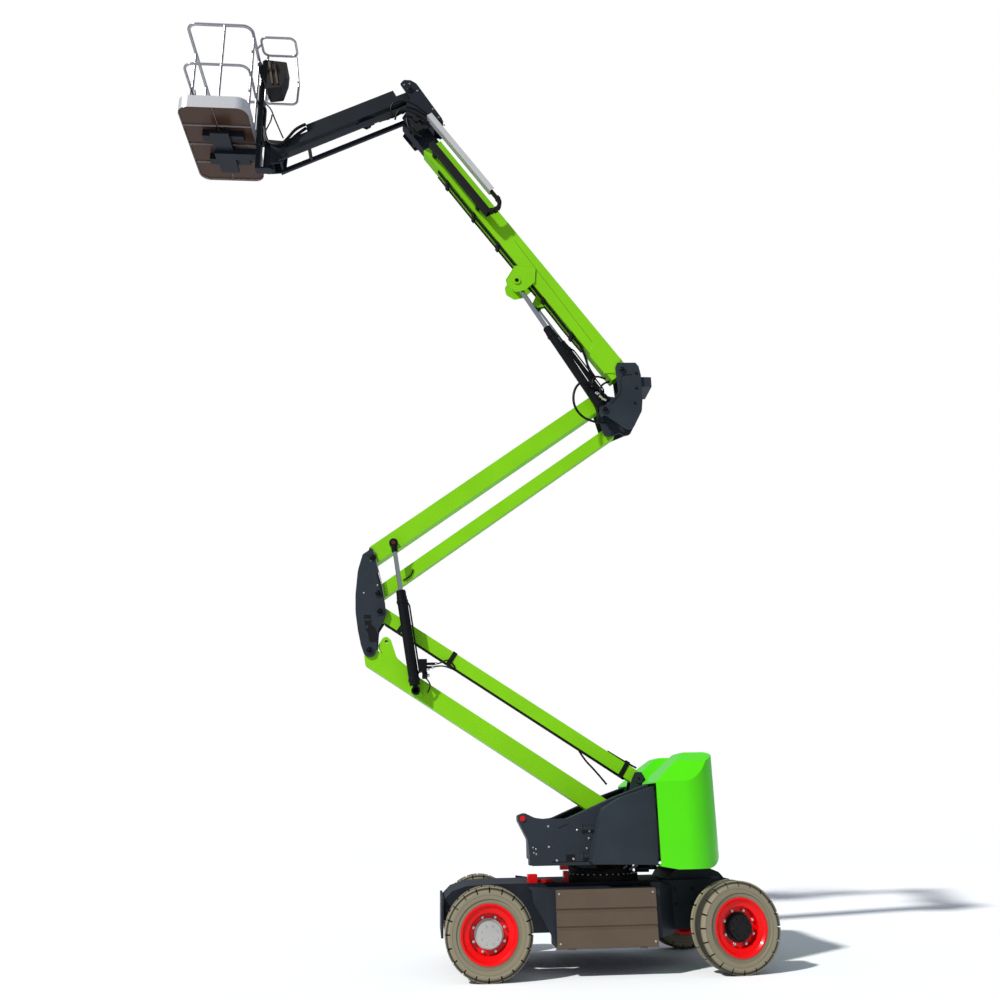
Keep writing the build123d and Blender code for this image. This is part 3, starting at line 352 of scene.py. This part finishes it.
# Floor, light and camera
floorData = bpy.data.meshes.new("floor")
floorData.from_pydata([(-14, -12, 0), (26, -12, 0), (26, 26, 0), (-14, 26, 0)], [], [(0, 1, 2, 3)])
floor = bpy.data.objects.new("floor", floorData)
scene.collection.objects.link(floor)
floor.location.z = cadLow[2] - 0.001
floor.data.materials.append(surface("floorPale", (0.9, 0.93, 0.97), 0.9))
floor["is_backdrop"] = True

world = bpy.data.worlds.new("studio")
scene.world = world
world.use_nodes = True
back = world.node_tree.nodes["Background"]
back.inputs["Color"].default_value = (0.3, 0.32, 0.36, 1)
back.inputs["Strength"].default_value = 1.0
tree = world.node_tree
clear = tree.nodes.new("ShaderNodeBackground")
clear.inputs["Color"].default_value = (1, 1, 1, 1)
paths = tree.nodes.new("ShaderNodeLightPath")
pick = tree.nodes.new("ShaderNodeMixShader")
tree.links.new(paths.outputs["Is Camera Ray"], pick.inputs["Fac"])
tree.links.new(back.outputs["Background"], pick.inputs[1])
tree.links.new(clear.outputs["Background"], pick.inputs[2])
tree.links.new(pick.outputs["Shader"], tree.nodes["World Output"].inputs["Surface"])

sunData = bpy.data.lights.new("sun", "SUN")
sunData.energy = 4.0
sunData.angle = radians(3)
sunData.color = (1, 0.97, 0.92)
sun = bpy.data.objects.new("sun", sunData)
sun.rotation_euler = Vector((0.75, 0.6, -0.85)).to_track_quat("-Z", "Y").to_euler()
scene.collection.objects.link(sun)
sun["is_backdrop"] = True

# The camera's place was fitted from the middle of the wheels; frameShift leads to the part's origin
fittedX, frameShift = -1.509, 1.419
yaw, pitch, roll = 0.078, 0.316, -0.018
ahead = Vector((sin(yaw) * cos(pitch), cos(yaw) * cos(pitch), sin(pitch)))
side = Vector((cos(yaw), -sin(yaw), 0))
up = side.cross(ahead)
sideRolled = side * cos(roll) + up * sin(roll)
upRolled = up * cos(roll) - side * sin(roll)
cameraData = bpy.data.cameras.new("camera")
cameraData.sensor_fit = "HORIZONTAL"
cameraData.sensor_width = 36
cameraData.lens = 34.107
cameraData.clip_end = 300
camera = bpy.data.objects.new("camera", cameraData)
scene.collection.objects.link(camera)
scene.camera = camera
turn = Matrix((sideRolled, upRolled, -ahead)).transposed().to_4x4()
camera.matrix_world = Matrix.Translation((fittedX + frameShift, -9.082, 1.295)) @ turn
camera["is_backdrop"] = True
print("stage done")

# Dark caps over the pins, and the bolt through each
capSpots = {
    "turret": [(pinT1, knuckleFace), (pinT2, knuckleFace)],
    "riser_knuckle": [(pinK1, knuckleFace - 0.008), (pinK2, knuckleFace - 0.008),
                      (pinA1, knuckleFace - 0.008), (pinB1, knuckleFace - 0.008)],
    "top_bracket": [(pinC, boomY - 0.112), (pivot("lift_ram_swing"), boomY - 0.112)],
    "fly": [(pinP1, boomY - 0.168)],
    "jib_support": [(pinQ1, boomY - 0.095)],
}
for body, spots in capSpots.items():
    caps = bmesh.new()
    for spot, face in spots:
        addRod(caps, (spot.x, face, spot.z), (spot.x, face - 0.005, spot.z), 0.03, 28, 0.027)
        addBolt(caps, (spot.x, face - 0.005, spot.z), (0, -1, 0), 0.011)
    put("pinCaps_" + body, caps, blackSteel, body, 0.001)
print("caps done")


# Rams: dark eyes, gland nut, oil pipe along the barrel and its ports
def dressRam(name, tipJoint, barrelRadius, rodRadius, eye, split, width):
    low = pivot(name + "_swing")
    y = low.y
    high = tipJoint
    length = ((high.x - low.x) ** 2 + (high.z - low.z) ** 2) ** 0.5
    eyes = bmesh.new()
    addRod(eyes, (high.x, y - width / 2 - 0.002, high.z), (high.x, y + width / 2 + 0.002, high.z),
           eye + 0.002, 32)
    addRod(eyes, along(low, high, length - eye - 0.05, 0, y), along(low, high, length - eye + 0.01, 0, y),
           rodRadius + 0.009, 24)
    put(name + "Eye", eyes, blackSteel, name + "_rod", 0.002)
    centre = bmesh.new()
    addRod(centre, (high.x, y - width / 2 - 0.009, high.z), (high.x, y - width / 2 - 0.001, high.z),
           eye * 0.5, 24)
    put(name + "Pin", centre, pinRed, name + "_rod", 0.002)
    fit = bmesh.new()
    end = length * split
    addRod(fit, along(low, high, end - 0.012, 0, y), along(low, high, end + 0.012, 0, y),
           barrelRadius * 0.86, 28)
    for run in (0.1, end - 0.1):
        addRod(fit, along(low, high, run - 0.014, 0, y), along(low, high, run + 0.014, 0, y),
               barrelRadius + 0.006, 28)
    addRod(fit, (low.x, y - width / 2 - 0.007, low.z), (low.x, y - width / 2, low.z), eye * 0.7, 24)
    put(name + "Fittings", fit, blackSteel, name + "_barrel", 0.002)
    ring = bmesh.new()
    addRod(ring, along(low, high, end - 0.062, 0, y), along(low, high, end - 0.05, 0, y),
           barrelRadius * 0.97, 28)
    put(name + "Ring", ring, zinc, name + "_barrel")
    side = -1 if name == "jib_ram" else 1
    across = (barrelRadius + 0.012) * side
    near = barrelRadius * 0.7 * side
    hoses(name + "Pipe", [[
        along(low, high, 0.14, near, y - 0.012), along(low, high, 0.16, across, y - 0.012),
        along(low, high, 0.22, across, y - 0.012), along(low, high, end - 0.2, across, y - 0.012),
        along(low, high, end - 0.13, across, y - 0.012), along(low, high, end - 0.1, near, y),
    ]], 0.008, blackSteel, name + "_barrel")


ramTable = (
    # name, barrel radius, rod radius, eye radius, split, width
    ("riser_ram", 0.05, 0.022, 0.042, 0.66, 0.046),
    ("lift_ram", 0.046, 0.025, 0.044, 0.64, 0.06),
    ("level_ram", 0.024, 0.013, 0.026, 0.62, 0.032),
    ("jib_ram", 0.024, 0.013, 0.026, 0.72, 0.036),
)
for name, barrelRadius, rodRadius, eye, split, width in ramTable:
    low, way = pivot(name + "_swing"), Vector(joints[name + "_stroke"]["axis"])
    # The longer way of the rod, x or z, tells where its eye is
    main = 2 if abs(way.z) > abs(way.x) else 0
    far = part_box(name + "_rod")[1 if way[main] > 0 else 0][main]
    length = (abs(far - low[main]) - eye) / abs(way[main])
    dressRam(name, low + way * length, barrelRadius, rodRadius, eye, split, width)
print("rams done")

# Valve at the foot of the riser ram with its ports and hoses
valve = bmesh.new()
addBox(valve, (-0.185, -0.1, 2.54), (-0.105, -0.02, 2.66))
addBox(valve, (-0.15, -0.085, 2.48), (-0.1, -0.03, 2.54))
addRod(valve, (-0.105, -0.05, 2.62), (-0.03, -0.05, 2.62), 0.013)
addRod(valve, (-0.105, -0.07, 2.585), (-0.06, -0.07, 2.585), 0.012)
put("riserValve", valve, blackSteel, "riser_ram_barrel", 0.003)
ports = bmesh.new()
for spot in ((-0.1, -0.06, 2.57), (-0.03, -0.05, 2.62), (-0.06, -0.07, 2.585), (-0.1, -0.06, 2.51)):
    addRod(ports, spot, (spot[0] + 0.02, spot[1], spot[2]), 0.016, 6)
put("riserPorts", ports, zinc, "riser_ram_barrel", 0.001)
hoses("riserValveHoses", [
    [(-0.03, -0.05, 2.62), (0.02, -0.04, 2.625), (0.05, -0.02, 2.65), (0.1, 0.01, 2.665),
     (0.145, 0.02, 2.635), (0.165, 0.03, 2.575)],
    [(-0.05, -0.07, 2.585), (0.0, -0.06, 2.6), (0.08, -0.02, 2.6), (0.165, 0.02, 2.565)],
    [(-0.12, -0.06, 2.49), (-0.08, -0.05, 2.45), (-0.07, -0.04, 2.4), (-0.1, -0.03, 2.35)],
], 0.007, hoseRubber, "riser_ram_barrel")

# Hoses and clamps along the lower link
linkWay = (pinK2 - pinT2).length
linkRoute = (0.1, 0.3, 0.9, 1.5, 2.1, 2.5, linkWay - 0.1)
hoses("lowerLinkHoses", [
    [along(pinT2, pinK2, run, -0.067, riserY - 0.035) for run in linkRoute],
    [along(pinT2, pinK2, run, -0.067, riserY + 0.02) for run in linkRoute],
    [along(pinT2, pinK2, 0.05, 0.085, riserY), along(pinT2, pinK2, 0.16, 0.072, riserY),
     along(pinT2, pinK2, 0.36, 0.07, riserY)],
    [along(pinT2, pinK2, 0.62, -0.064, riserY - 0.04), along(pinT2, pinK2, 0.52, -0.12, riserY - 0.05),
     along(pinT2, pinK2, 0.38, -0.15, riserY - 0.05), along(pinT2, pinK2, 0.22, -0.2, riserY - 0.04)],
], 0.009, hoseRubber, "lower_link")
clips = bmesh.new()
for run, high in ((0.13, 0.024), (2.05, 0.006), (2.62, 0.018)):
    outline = []
    for r, h in ((run, -0.08), (run + 0.045, -0.08), (run + 0.045, 0.063 + high), (run, 0.063 + high)):
        spot = along(pinT2, pinK2, r, h, 0)
        outline.append((spot.x, spot.z))
    addPlate(clips, outline, riserY - 0.0595, riserY - 0.055)
    top = [along(pinT2, pinK2, r, h, 0) for r, h in
           ((run, 0.061), (run + 0.045, 0.061), (run + 0.045, 0.063 + high), (run, 0.063 + high))]
    addPlate(clips, [(spot.x, spot.z) for spot in top], riserY - 0.059, riserY + 0.03)
put("lowerLinkClips", clips, blackPlastic, "lower_link", 0.0015)
print("link done")

# Knuckle: black sheets as painted shade where its recesses are, their bars, the folded flange and bolts
# Painted shade: flat black sheets on the knuckle face stand for the dark of the recesses
recessShade = bmesh.new()
addPlate(recessShade, [(-0.716, 3.102), (-0.648, 3.098), (-0.64, 3.005), (-0.606, 2.981), (-0.577, 2.909),
                  (-0.581, 2.838), (-0.656, 2.838), (-0.671, 2.925), (-0.696, 2.965)],
         knuckleFace - 0.0015, knuckleFace)
addPlate(recessShade, [(-0.657, 3.7), (-0.641, 3.69), (-0.599, 3.56), (-0.559, 3.42), (-0.526, 3.285),
                  (-0.547, 3.28), (-0.579, 3.42), (-0.619, 3.56)], knuckleFace - 0.0015, knuckleFace)
put("knuckleRecessShade", recessShade, blackPlastic, "riser_knuckle")
bars = bmesh.new()
addBox(bars, (-0.704, knuckleFace - 0.006, 3.043), (-0.643, knuckleFace, 3.06))
addBox(bars, (-0.695, knuckleFace - 0.006, 2.966), (-0.667, knuckleFace, 2.999))
addPlate(bars, [(-0.677, 3.77), (-0.645, 3.757), (-0.609, 3.63), (-0.581, 3.52), (-0.599, 3.5),
                (-0.629, 3.6), (-0.659, 3.7), (-0.699, 3.69)], knuckleFace - 0.005, knuckleFace)
put("knuckleBars", bars, slate, "riser_knuckle", 0.002)
bolts = bmesh.new()
for x, z in ((-0.659, 3.639), (-0.59, 3.391), (-0.719, 3.315)):
    addBolt(bolts, (x, knuckleFace, z), (0, -1, 0), 0.008)
put("knuckleBolts", bolts, zinc, "riser_knuckle", 0.0008)
hoses("knuckleEdge", [[(-0.639, knuckleFace - 0.004, 3.75), (-0.599, knuckleFace - 0.004, 3.6),
                       (-0.555, knuckleFace - 0.004, 3.43), (-0.524, knuckleFace - 0.004, 3.28)]],
      0.0035, zinc, "riser_knuckle")

# Wire on the upper link
hoses("upperLinkHoses", [
    [(-0.345, 0.03, 3.45), (-0.297, 0.03, 3.47), (-0.257, 0.03, 3.51), (-0.249, 0.03, 3.56)],
], 0.007, hoseRubber, "upper_link")

# Top bracket: raised bead, bolts and the hose loop beside it
bracketFace = boomY - 0.1
hoses("bracketBead", [[(2.009, bracketFace, 5.602), (1.94, bracketFace, 5.6), (1.9, bracketFace, 5.585),
                       (1.888, bracketFace, 5.54), (1.888, bracketFace, 5.414), (1.85, bracketFace, 5.351),
                       (1.775, bracketFace, 5.27)]], 0.005, blackPlastic, "top_bracket")
bolts = bmesh.new()
for x, z in ((2.025, 5.28), (2.06, 5.62), (2.05, 5.45)):
    addBolt(bolts, (x, bracketFace, z), (0, -1, 0), 0.011)
put("bracketBolts", bolts, blackSteel, "top_bracket", 0.0008)
hoses("bracketHoses", [
    [(1.7, -0.1, 5.42), (1.62, -0.16, 5.47), (1.53, -0.21, 5.513), (1.43, -0.215, 5.475),
     (1.378, -0.215, 5.36), (1.383, -0.215, 5.22), (1.455, -0.21, 5.112), (1.549, -0.2, 5.069),
     (1.66, -0.14, 5.07), (1.72, -0.08, 5.1)],
], 0.013, hoseRubber, "top_bracket")
hoses("barrelHoses", [
    [(1.74, -0.05, 5.3), (1.66, -0.1, 5.36), (1.6, -0.15, 5.46), (1.6, -0.15, 5.56),
     (1.66, -0.12, 5.62), (1.75, -0.08, 5.6)],
    [(1.76, -0.06, 5.25), (1.7, -0.13, 5.32), (1.67, -0.15, 5.42), (1.7, -0.14, 5.52), (1.79, -0.1, 5.56)],
], 0.011, hoseRubber, "lift_ram_barrel")
ports = bmesh.new()
for x, z in ((1.62, 5.4), (1.66, 5.36), (1.7, 5.33), (1.74, 5.28)):
    addRod(ports, (x, -0.17, z), (x + 0.03, -0.17, z - 0.02), 0.014, 6)
put("bracketPorts", ports, zinc, "lift_ram_barrel", 0.001)
marks = bmesh.new()
addRod(marks, (1.665, -0.165, 5.37), (1.7, -0.165, 5.32), 0.012)
put("bracketPortCaps", marks, portYellow, "lift_ram_barrel", 0.001)
print("bracket done")

# Boom: hoses along its underside, seam, foot plate, clamps, and the lug's cap and welds
under = -0.162
hoses("boomHoses", [
    [boomAt(0.45, under, boomY + offset), boomAt(0.7, under - 0.008, boomY + offset),
     boomAt(1.0, under, boomY + offset), boomAt(1.5, under, boomY + offset),
     boomAt(2.1, under, boomY + offset), boomAt(2.6, under - 0.006, boomY + offset),
     boomAt(3.1, under, boomY + offset)]
    for offset in (-0.055, -0.03, 0.055)
] + [
    [boomAt(0.5, under, boomY - 0.055), boomAt(0.36, -0.19, boomY - 0.05), boomAt(0.24, -0.25, boomY - 0.03),
     boomAt(0.12, -0.24, boomY)],
    [boomAt(0.5, under, boomY - 0.03), boomAt(0.34, -0.2, boomY - 0.02), boomAt(0.2, -0.27, boomY),
     boomAt(0.1, -0.25, boomY + 0.02)],
], 0.009, hoseRubber, "boom")
hoses("boomSeam", [[(0.819, boomFace, 7.199), (1.489, boomFace, 6.177), (1.614, boomFace, 5.988)]], 0.0015,
      blackPlastic, "boom")
footPlate = bmesh.new()
addPlate(footPlate, [(1.582, 5.855), (1.627, 5.973), (1.736, 6.02), (1.91, 5.789), (1.848, 5.629),
                     (1.724, 5.621)], boomFace - 0.008, boomFace)
put("footPlate", footPlate, armGreen, "boom", 0.001)
clamps = bmesh.new()
for run in (0.62, 1.12, 1.95, 2.4, 2.9):
    corners = [boomAt(run + a, b, 0) for a, b in ((0, -0.15), (0.04, -0.15), (0.04, -0.18), (0, -0.18))]
    addPlate(clamps, [(spot.x, spot.z) for spot in corners], boomFace, boomFace + 0.15)
put("boomClamps", clamps, blackPlastic, "boom", 0.002)
caps = bmesh.new()
lugPin = boomAt(1.477, -0.279, 0)
addRod(caps, (lugPin.x, boomFace - 0.026, lugPin.z), (lugPin.x, boomFace - 0.022, lugPin.z), 0.022, 24)
put("boomLugCap", caps, blackSteel, "boom")
edges = []
lug = ((0.159, -0.182), (0.07, -0.371), (-0.006, -0.4), (-0.101, -0.367), (-0.141, -0.268), (-0.12, -0.128),
       (0.004, -0.03))
for start, end in zip(lug, lug[1:]):
    edges.append([boomAt(1.477 + start[0], start[1], boomFace - 0.0125),
                  boomAt(1.477 + end[0], end[1], boomFace - 0.0125)])
hoses("boomLugWelds", edges, 0.0035, armGreen, "boom")
print("boom done")

# Fly head: hoses looped over the jib pin and the switch block under it
hoses("flyHeadHoses", [
    [boomAt(3.62, 0.12, boomY - 0.19), boomAt(3.8, 0.1, boomY - 0.2), boomAt(3.98, 0.02, boomY - 0.2),
     boomAt(4.05, -0.1, boomY - 0.19), boomAt(4.0, -0.2, boomY - 0.17), boomAt(3.9, -0.22, boomY - 0.15)],
    [boomAt(3.6, 0.06, boomY - 0.185), boomAt(3.75, 0.02, boomY - 0.2), boomAt(3.88, -0.06, boomY - 0.2),
     boomAt(3.93, -0.15, boomY - 0.19), boomAt(3.86, -0.22, boomY - 0.16)],
    [boomAt(3.5, -0.1, boomY - 0.17), boomAt(3.6, -0.16, boomY - 0.18), boomAt(3.72, -0.16, boomY - 0.18),
     boomAt(3.8, -0.1, boomY - 0.17)],
], 0.011, hoseRubber, "fly")
block = bmesh.new()
for run, rise, size in ((3.62, -0.07, 0.05), (3.72, -0.02, 0.035)):
    corners = [boomAt(run + a * size, rise + b * size, 0) for a, b in ((-1, -1), (1, -1), (1, 1), (-1, 1))]
    addPlate(block, [(spot.x, spot.z) for spot in corners], boomY - 0.19, boomY - 0.158)
put("flyHeadBlock", block, blackPlastic, "fly", 0.003)
bolts = bmesh.new()
for run, rise in ((3.5, 0.2), (3.62, 0.21), (3.75, 0.22), (4.05, 0.22), (4.18, 0.2), (4.2, 0.14)):
    addBolt(bolts, boomAt(run, rise, boomY - 0.158), (0, -1, 0), 0.009)
put("flyHeadBolts", bolts, zinc, "fly", 0.0008)
print("fly head done")

# Hoses that hang from the jib's end to the platform
hoses("jibEndHoses", [
    [(-1.5, -0.19, 8.62), (-1.6, -0.2, 8.56), (-1.68, -0.2, 8.42), (-1.76, -0.2, 8.32), (-1.87, -0.18, 8.34),
     (-1.94, -0.16, 8.44), (-1.96, -0.14, 8.6)],
    [(-1.5, -0.15, 8.6), (-1.6, -0.16, 8.5), (-1.7, -0.17, 8.36), (-1.78, -0.17, 8.27), (-1.88, -0.15, 8.3),
     (-1.95, -0.13, 8.42), (-1.965, -0.12, 8.56)],
], 0.017, hoseRubber, "jib_support")
hoses("columnHoses", [
    [(-1.958, -0.15, 8.907), (-1.9, -0.17, 8.84), (-1.857, -0.18, 8.715), (-1.778, -0.18, 8.524),
     (-1.74, -0.17, 8.44)],
    [(-1.885, -0.15, 8.76), (-1.882, -0.17, 8.68), (-1.92, -0.17, 8.583), (-1.955, -0.16, 8.491),
     (-1.93, -0.16, 8.4)],
], 0.008, hoseRubber, "platform")
print("jib end done")

# Control box: ribs in bronze, their light brown a painted glint, and switches; the duct at the column and
# the struts of the gate
boxLow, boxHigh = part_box("control_box")
boxDeep = boxHigh.y - boxLow.y
glintRibs = bmesh.new()
# Painted highlight: the ribs' light brown colour stands for the glint on the box
for part in (0.2, 0.42):
    top = (boxLow.x + (boxHigh.x - boxLow.x) * part, boxHigh.z - 0.03)
    low = (top[0] + 0.05, boxLow.z + 0.06)
    addPlate(glintRibs, [(top[0], top[1]), (top[0] + 0.022, top[1]), (low[0] + 0.022, low[1]), (low[0], low[1])],
             boxLow.y - 0.012, boxLow.y)
put("controlBoxGlintRibs", glintRibs, bronze, "platform", 0.003)
duct = bmesh.new()
ductX = boxLow.x - 0.072
addBox(duct, (ductX - 0.022, boomY - 0.04, boxLow.z - 0.5), (ductX, boomY + 0.04, boxLow.z + 0.3))
addBox(duct, (ductX + 0.05, boomY - 0.03, boxLow.z - 0.4), (ductX + 0.072, boomY + 0.03, boxLow.z))
put("cableDuct", duct, blackPlastic, "platform", 0.005)
switches = bmesh.new()
for k in range(6):
    spot = (boxLow.x + 0.04 + 0.035 * k, boxLow.y + boxDeep * 0.4, boxHigh.z - 0.012)
    addRod(switches, spot, (spot[0], spot[1], spot[2] + 0.022), 0.008)
    addRod(switches, (spot[0], spot[1] + 0.06, spot[2]), (spot[0], spot[1] + 0.06, spot[2] + 0.01), 0.012)
addRod(switches, (boxLow.x + 0.13, boxLow.y + 0.17, boxHigh.z - 0.02),
       (boxLow.x + 0.13, boxLow.y + 0.17, boxHigh.z + 0.03), 0.013)
put("controlBoxSwitches", switches, blackPlastic, "platform", 0.002)
gate = bmesh.new()
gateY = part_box("platform_floor")[0].y + 0.02
for start, end in (((-2.64, 8.62), (-2.64, 8.44)), ((-2.64, 8.6), (-2.545, 8.44)),
                   ((-2.6, 8.6), (-2.57, 8.44))):
    addRod(gate, (start[0], gateY, start[1]), (end[0], gateY, end[1]), 0.007, 12)
put("gateStruts", gate, blackSteel, "platform")
print("platform done")

# Wheels: nuts round the rim's disc and bolts round the hub
def wheelFrame(wheel):
    joint = wheel.replace("_", "_wheel_")
    way = Vector(joints[joint]["axis"])
    middle = pivot(joint)
    out = way.normalized() * (-1 if wheel.endswith("near") else 1)
    side = out.cross(Vector((0, 0, 1))).normalized()
    return middle, out, side


nutCircle, hubCircle, boltCount = 0.134, 0.07, 8
for wheel in ("drive_near", "drive_far", "steer_near", "steer_far"):
    middle, out, side = wheelFrame(wheel)
    low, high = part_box("hub_" + wheel)
    span = [Vector((x, y, middle.z)) for x in (low.x, high.x) for y in (low.y, high.y)]
    reach = max((spot - middle).dot(out) for spot in span) - (0.002 if "drive" in wheel else 0.02)
    nuts, hubBolts = bmesh.new(), bmesh.new()
    for k in range(boltCount):
        angle = 2 * pi * (k + 0.5) / boltCount
        spoke = side * cos(angle) + Vector((0, 0, 1)) * sin(angle)
        base = middle + spoke * nutCircle
        addRod(nuts, base + out * 0.056, base + out * 0.066, 0.012, 6)
        addRod(nuts, base + out * 0.066, base + out * 0.074, 0.006, 12)
        addBolt(hubBolts, middle + spoke * hubCircle + out * reach, out, 0.007)
    put("wheelNuts_" + wheel, nuts, zinc, "wheel_" + wheel, 0.001)
    hubLook = zinc if "drive" in wheel else blackSteel
    put("hubBolts_" + wheel, hubBolts, hubLook, "wheel_" + wheel, 0.0008)
print("wheels done")

# Turret: bolts, black sheets as painted shade in the slots, and the corner of the side plates; bolts and
# seals of the covers
for name, face, way in (("Near", -0.6, -1), ("Far", 0.6, 1)):
    bolts = bmesh.new()
    for x, z in ((0.935, 1.154), (0.935, 0.99), (1.287, 1.109), (1.28, 1.052), (1.259, 0.971), (1.142, 0.89),
                 (1.0, 0.88), (1.18, 1.12)):
        addBolt(bolts, (x, face, z), (0, way, 0), 0.008)
    put("sideBolts" + name, bolts, zinc, "turret", 0.0008)
# Painted shade: thin black sheets in the slots and along the lower edge of the near side plate
slotShade = bmesh.new()
addBox(slotShade, (1.08, -0.6015, 0.872), (1.154, -0.6, 0.925))
addBox(slotShade, (0.957, -0.6015, 0.866), (1.276, -0.6, 0.872))
addPlate(slotShade, [(1.02, 1.135), (1.105, 1.166), (1.105, 1.172), (1.02, 1.142)], -0.6015, -0.6)
put("sideSlotShade", slotShade, blackPlastic, "turret")
ledge = bmesh.new()
addBox(ledge, (0.77, -0.575, 0.843), (0.8, -0.45, 0.93))
put("turretCorner", ledge, slate, "turret", 0.004)
bolts = bmesh.new()
for x, z in ((0.8, 0.987), (0.825, 0.974), (0.806, 0.945), (0.826, 0.933)):
    addBolt(bolts, (x, -0.6, z), (0, -1, 0), 0.006)
put("lampBolts", bolts, zinc, "turret", 0.0008)
for sideName, way in (("near", -1), ("far", 1)):
    low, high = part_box("turret_cover_" + sideName)
    outer = low.y if way < 0 else high.y
    bolts = bmesh.new()
    for z in (0.93, 1.08, 1.22, 1.36):
        addBolt(bolts, (high.x - 0.02, outer - way * (0.012 if z < 1.15 else 0.03 + (z - 1.15) * 0.2), z),
                (0, way, 0), 0.006)
    put("coverBolts_" + sideName, bolts, zinc, "cover_" + sideName, 0.0008)
    seal = bmesh.new()
    addBox(seal, (high.x - 0.004, min(outer - way * 0.02, way * 0.62), 0.86),
           (high.x, max(outer - way * 0.02, way * 0.62), 1.3))
    put("coverSeal_" + sideName, seal, blackPlastic, "cover_" + sideName)
print("turret done")

# Slewing: bolts round the ring, drive, hoses, ports and lock below the turret
ringMiddle = pivot("slew")
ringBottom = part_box("slew_ring")[0].z
ringBolts = bmesh.new()
ringCircle, ringCount = 0.311, 36
for k in range(ringCount):
    angle = 2 * pi * k / ringCount
    spot = (ringMiddle.x + ringCircle * cos(angle), ringMiddle.y + ringCircle * sin(angle),
            ringBottom + 0.046)
    addBolt(ringBolts, spot, (0, 0, 1), 0.009)
put("slewBolts", ringBolts, zinc, "chassis", 0.0008)
under = bmesh.new()
addRod(under, (ringMiddle.x + 0.42, -0.16, 0.77), (ringMiddle.x + 0.42, -0.16, 0.848), 0.06, 28)
addRod(under, (ringMiddle.x + 0.24, -0.36, 0.79), (ringMiddle.x + 0.36, -0.38, 0.79), 0.03, 24)
addBox(under, (ringMiddle.x - 0.35, -0.4, 0.8), (ringMiddle.x - 0.1, -0.34, 0.848))
put("slewDrive", under, blackSteel, "turret", 0.003)
hoses("slewHoses", [
    [(1.12, -0.39, 0.84), (1.22, -0.41, 0.79), (1.36, -0.42, 0.775), (1.5, -0.42, 0.79), (1.62, -0.4, 0.84)],
    [(1.15, -0.36, 0.84), (1.26, -0.38, 0.8), (1.4, -0.39, 0.8), (1.56, -0.38, 0.8), (1.66, -0.36, 0.84)],
    [(1.55, -0.38, 0.84), (1.62, -0.4, 0.79), (1.7, -0.4, 0.8), (1.74, -0.38, 0.84)],
], 0.01, hoseRubber, "turret")
pipes = bmesh.new()
for x, z in ((1.6, 0.8), (1.65, 0.785), (1.69, 0.8)):
    addRod(pipes, (x, -0.42, z), (x + 0.03, -0.43, z + 0.02), 0.012, 6)
put("slewPorts", pipes, zinc, "turret", 0.001)
reds = bmesh.new()
addBox(reds, (1.05, -0.41, 0.795), (1.12, -0.36, 0.848))
put("slewLock", reds, redPaint, "turret", 0.003)
print("slewing done")

# Bolts at the corners of the trays and along the chassis frame
for sideName, way in (("near", -1), ("far", 1)):
    low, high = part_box("tray_front_" + sideName)
    face = low.y if way < 0 else high.y
    bolts = bmesh.new()
    for x in (low.x + 0.025, high.x - 0.025):
        for z in (low.z + 0.05, high.z - 0.03):
            addBolt(bolts, (x, face, z), (0, way, 0), 0.007)
    put("trayBolts_" + sideName, bolts, zinc, "tray_door_" + sideName, 0.0008)
bolts = bmesh.new()
for x in (0.25, 0.4, 0.55, 2.05, 2.2, 2.4):
    for z in (0.5, 0.62):
        for face, way in ((-0.381, -1), (0.381, 1)):
            addBolt(bolts, (x, face, z), (0, way, 0), 0.01)
put("frameBolts", bolts, blackSteel, "chassis", 0.0008)
print("chassis done")

low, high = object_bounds()
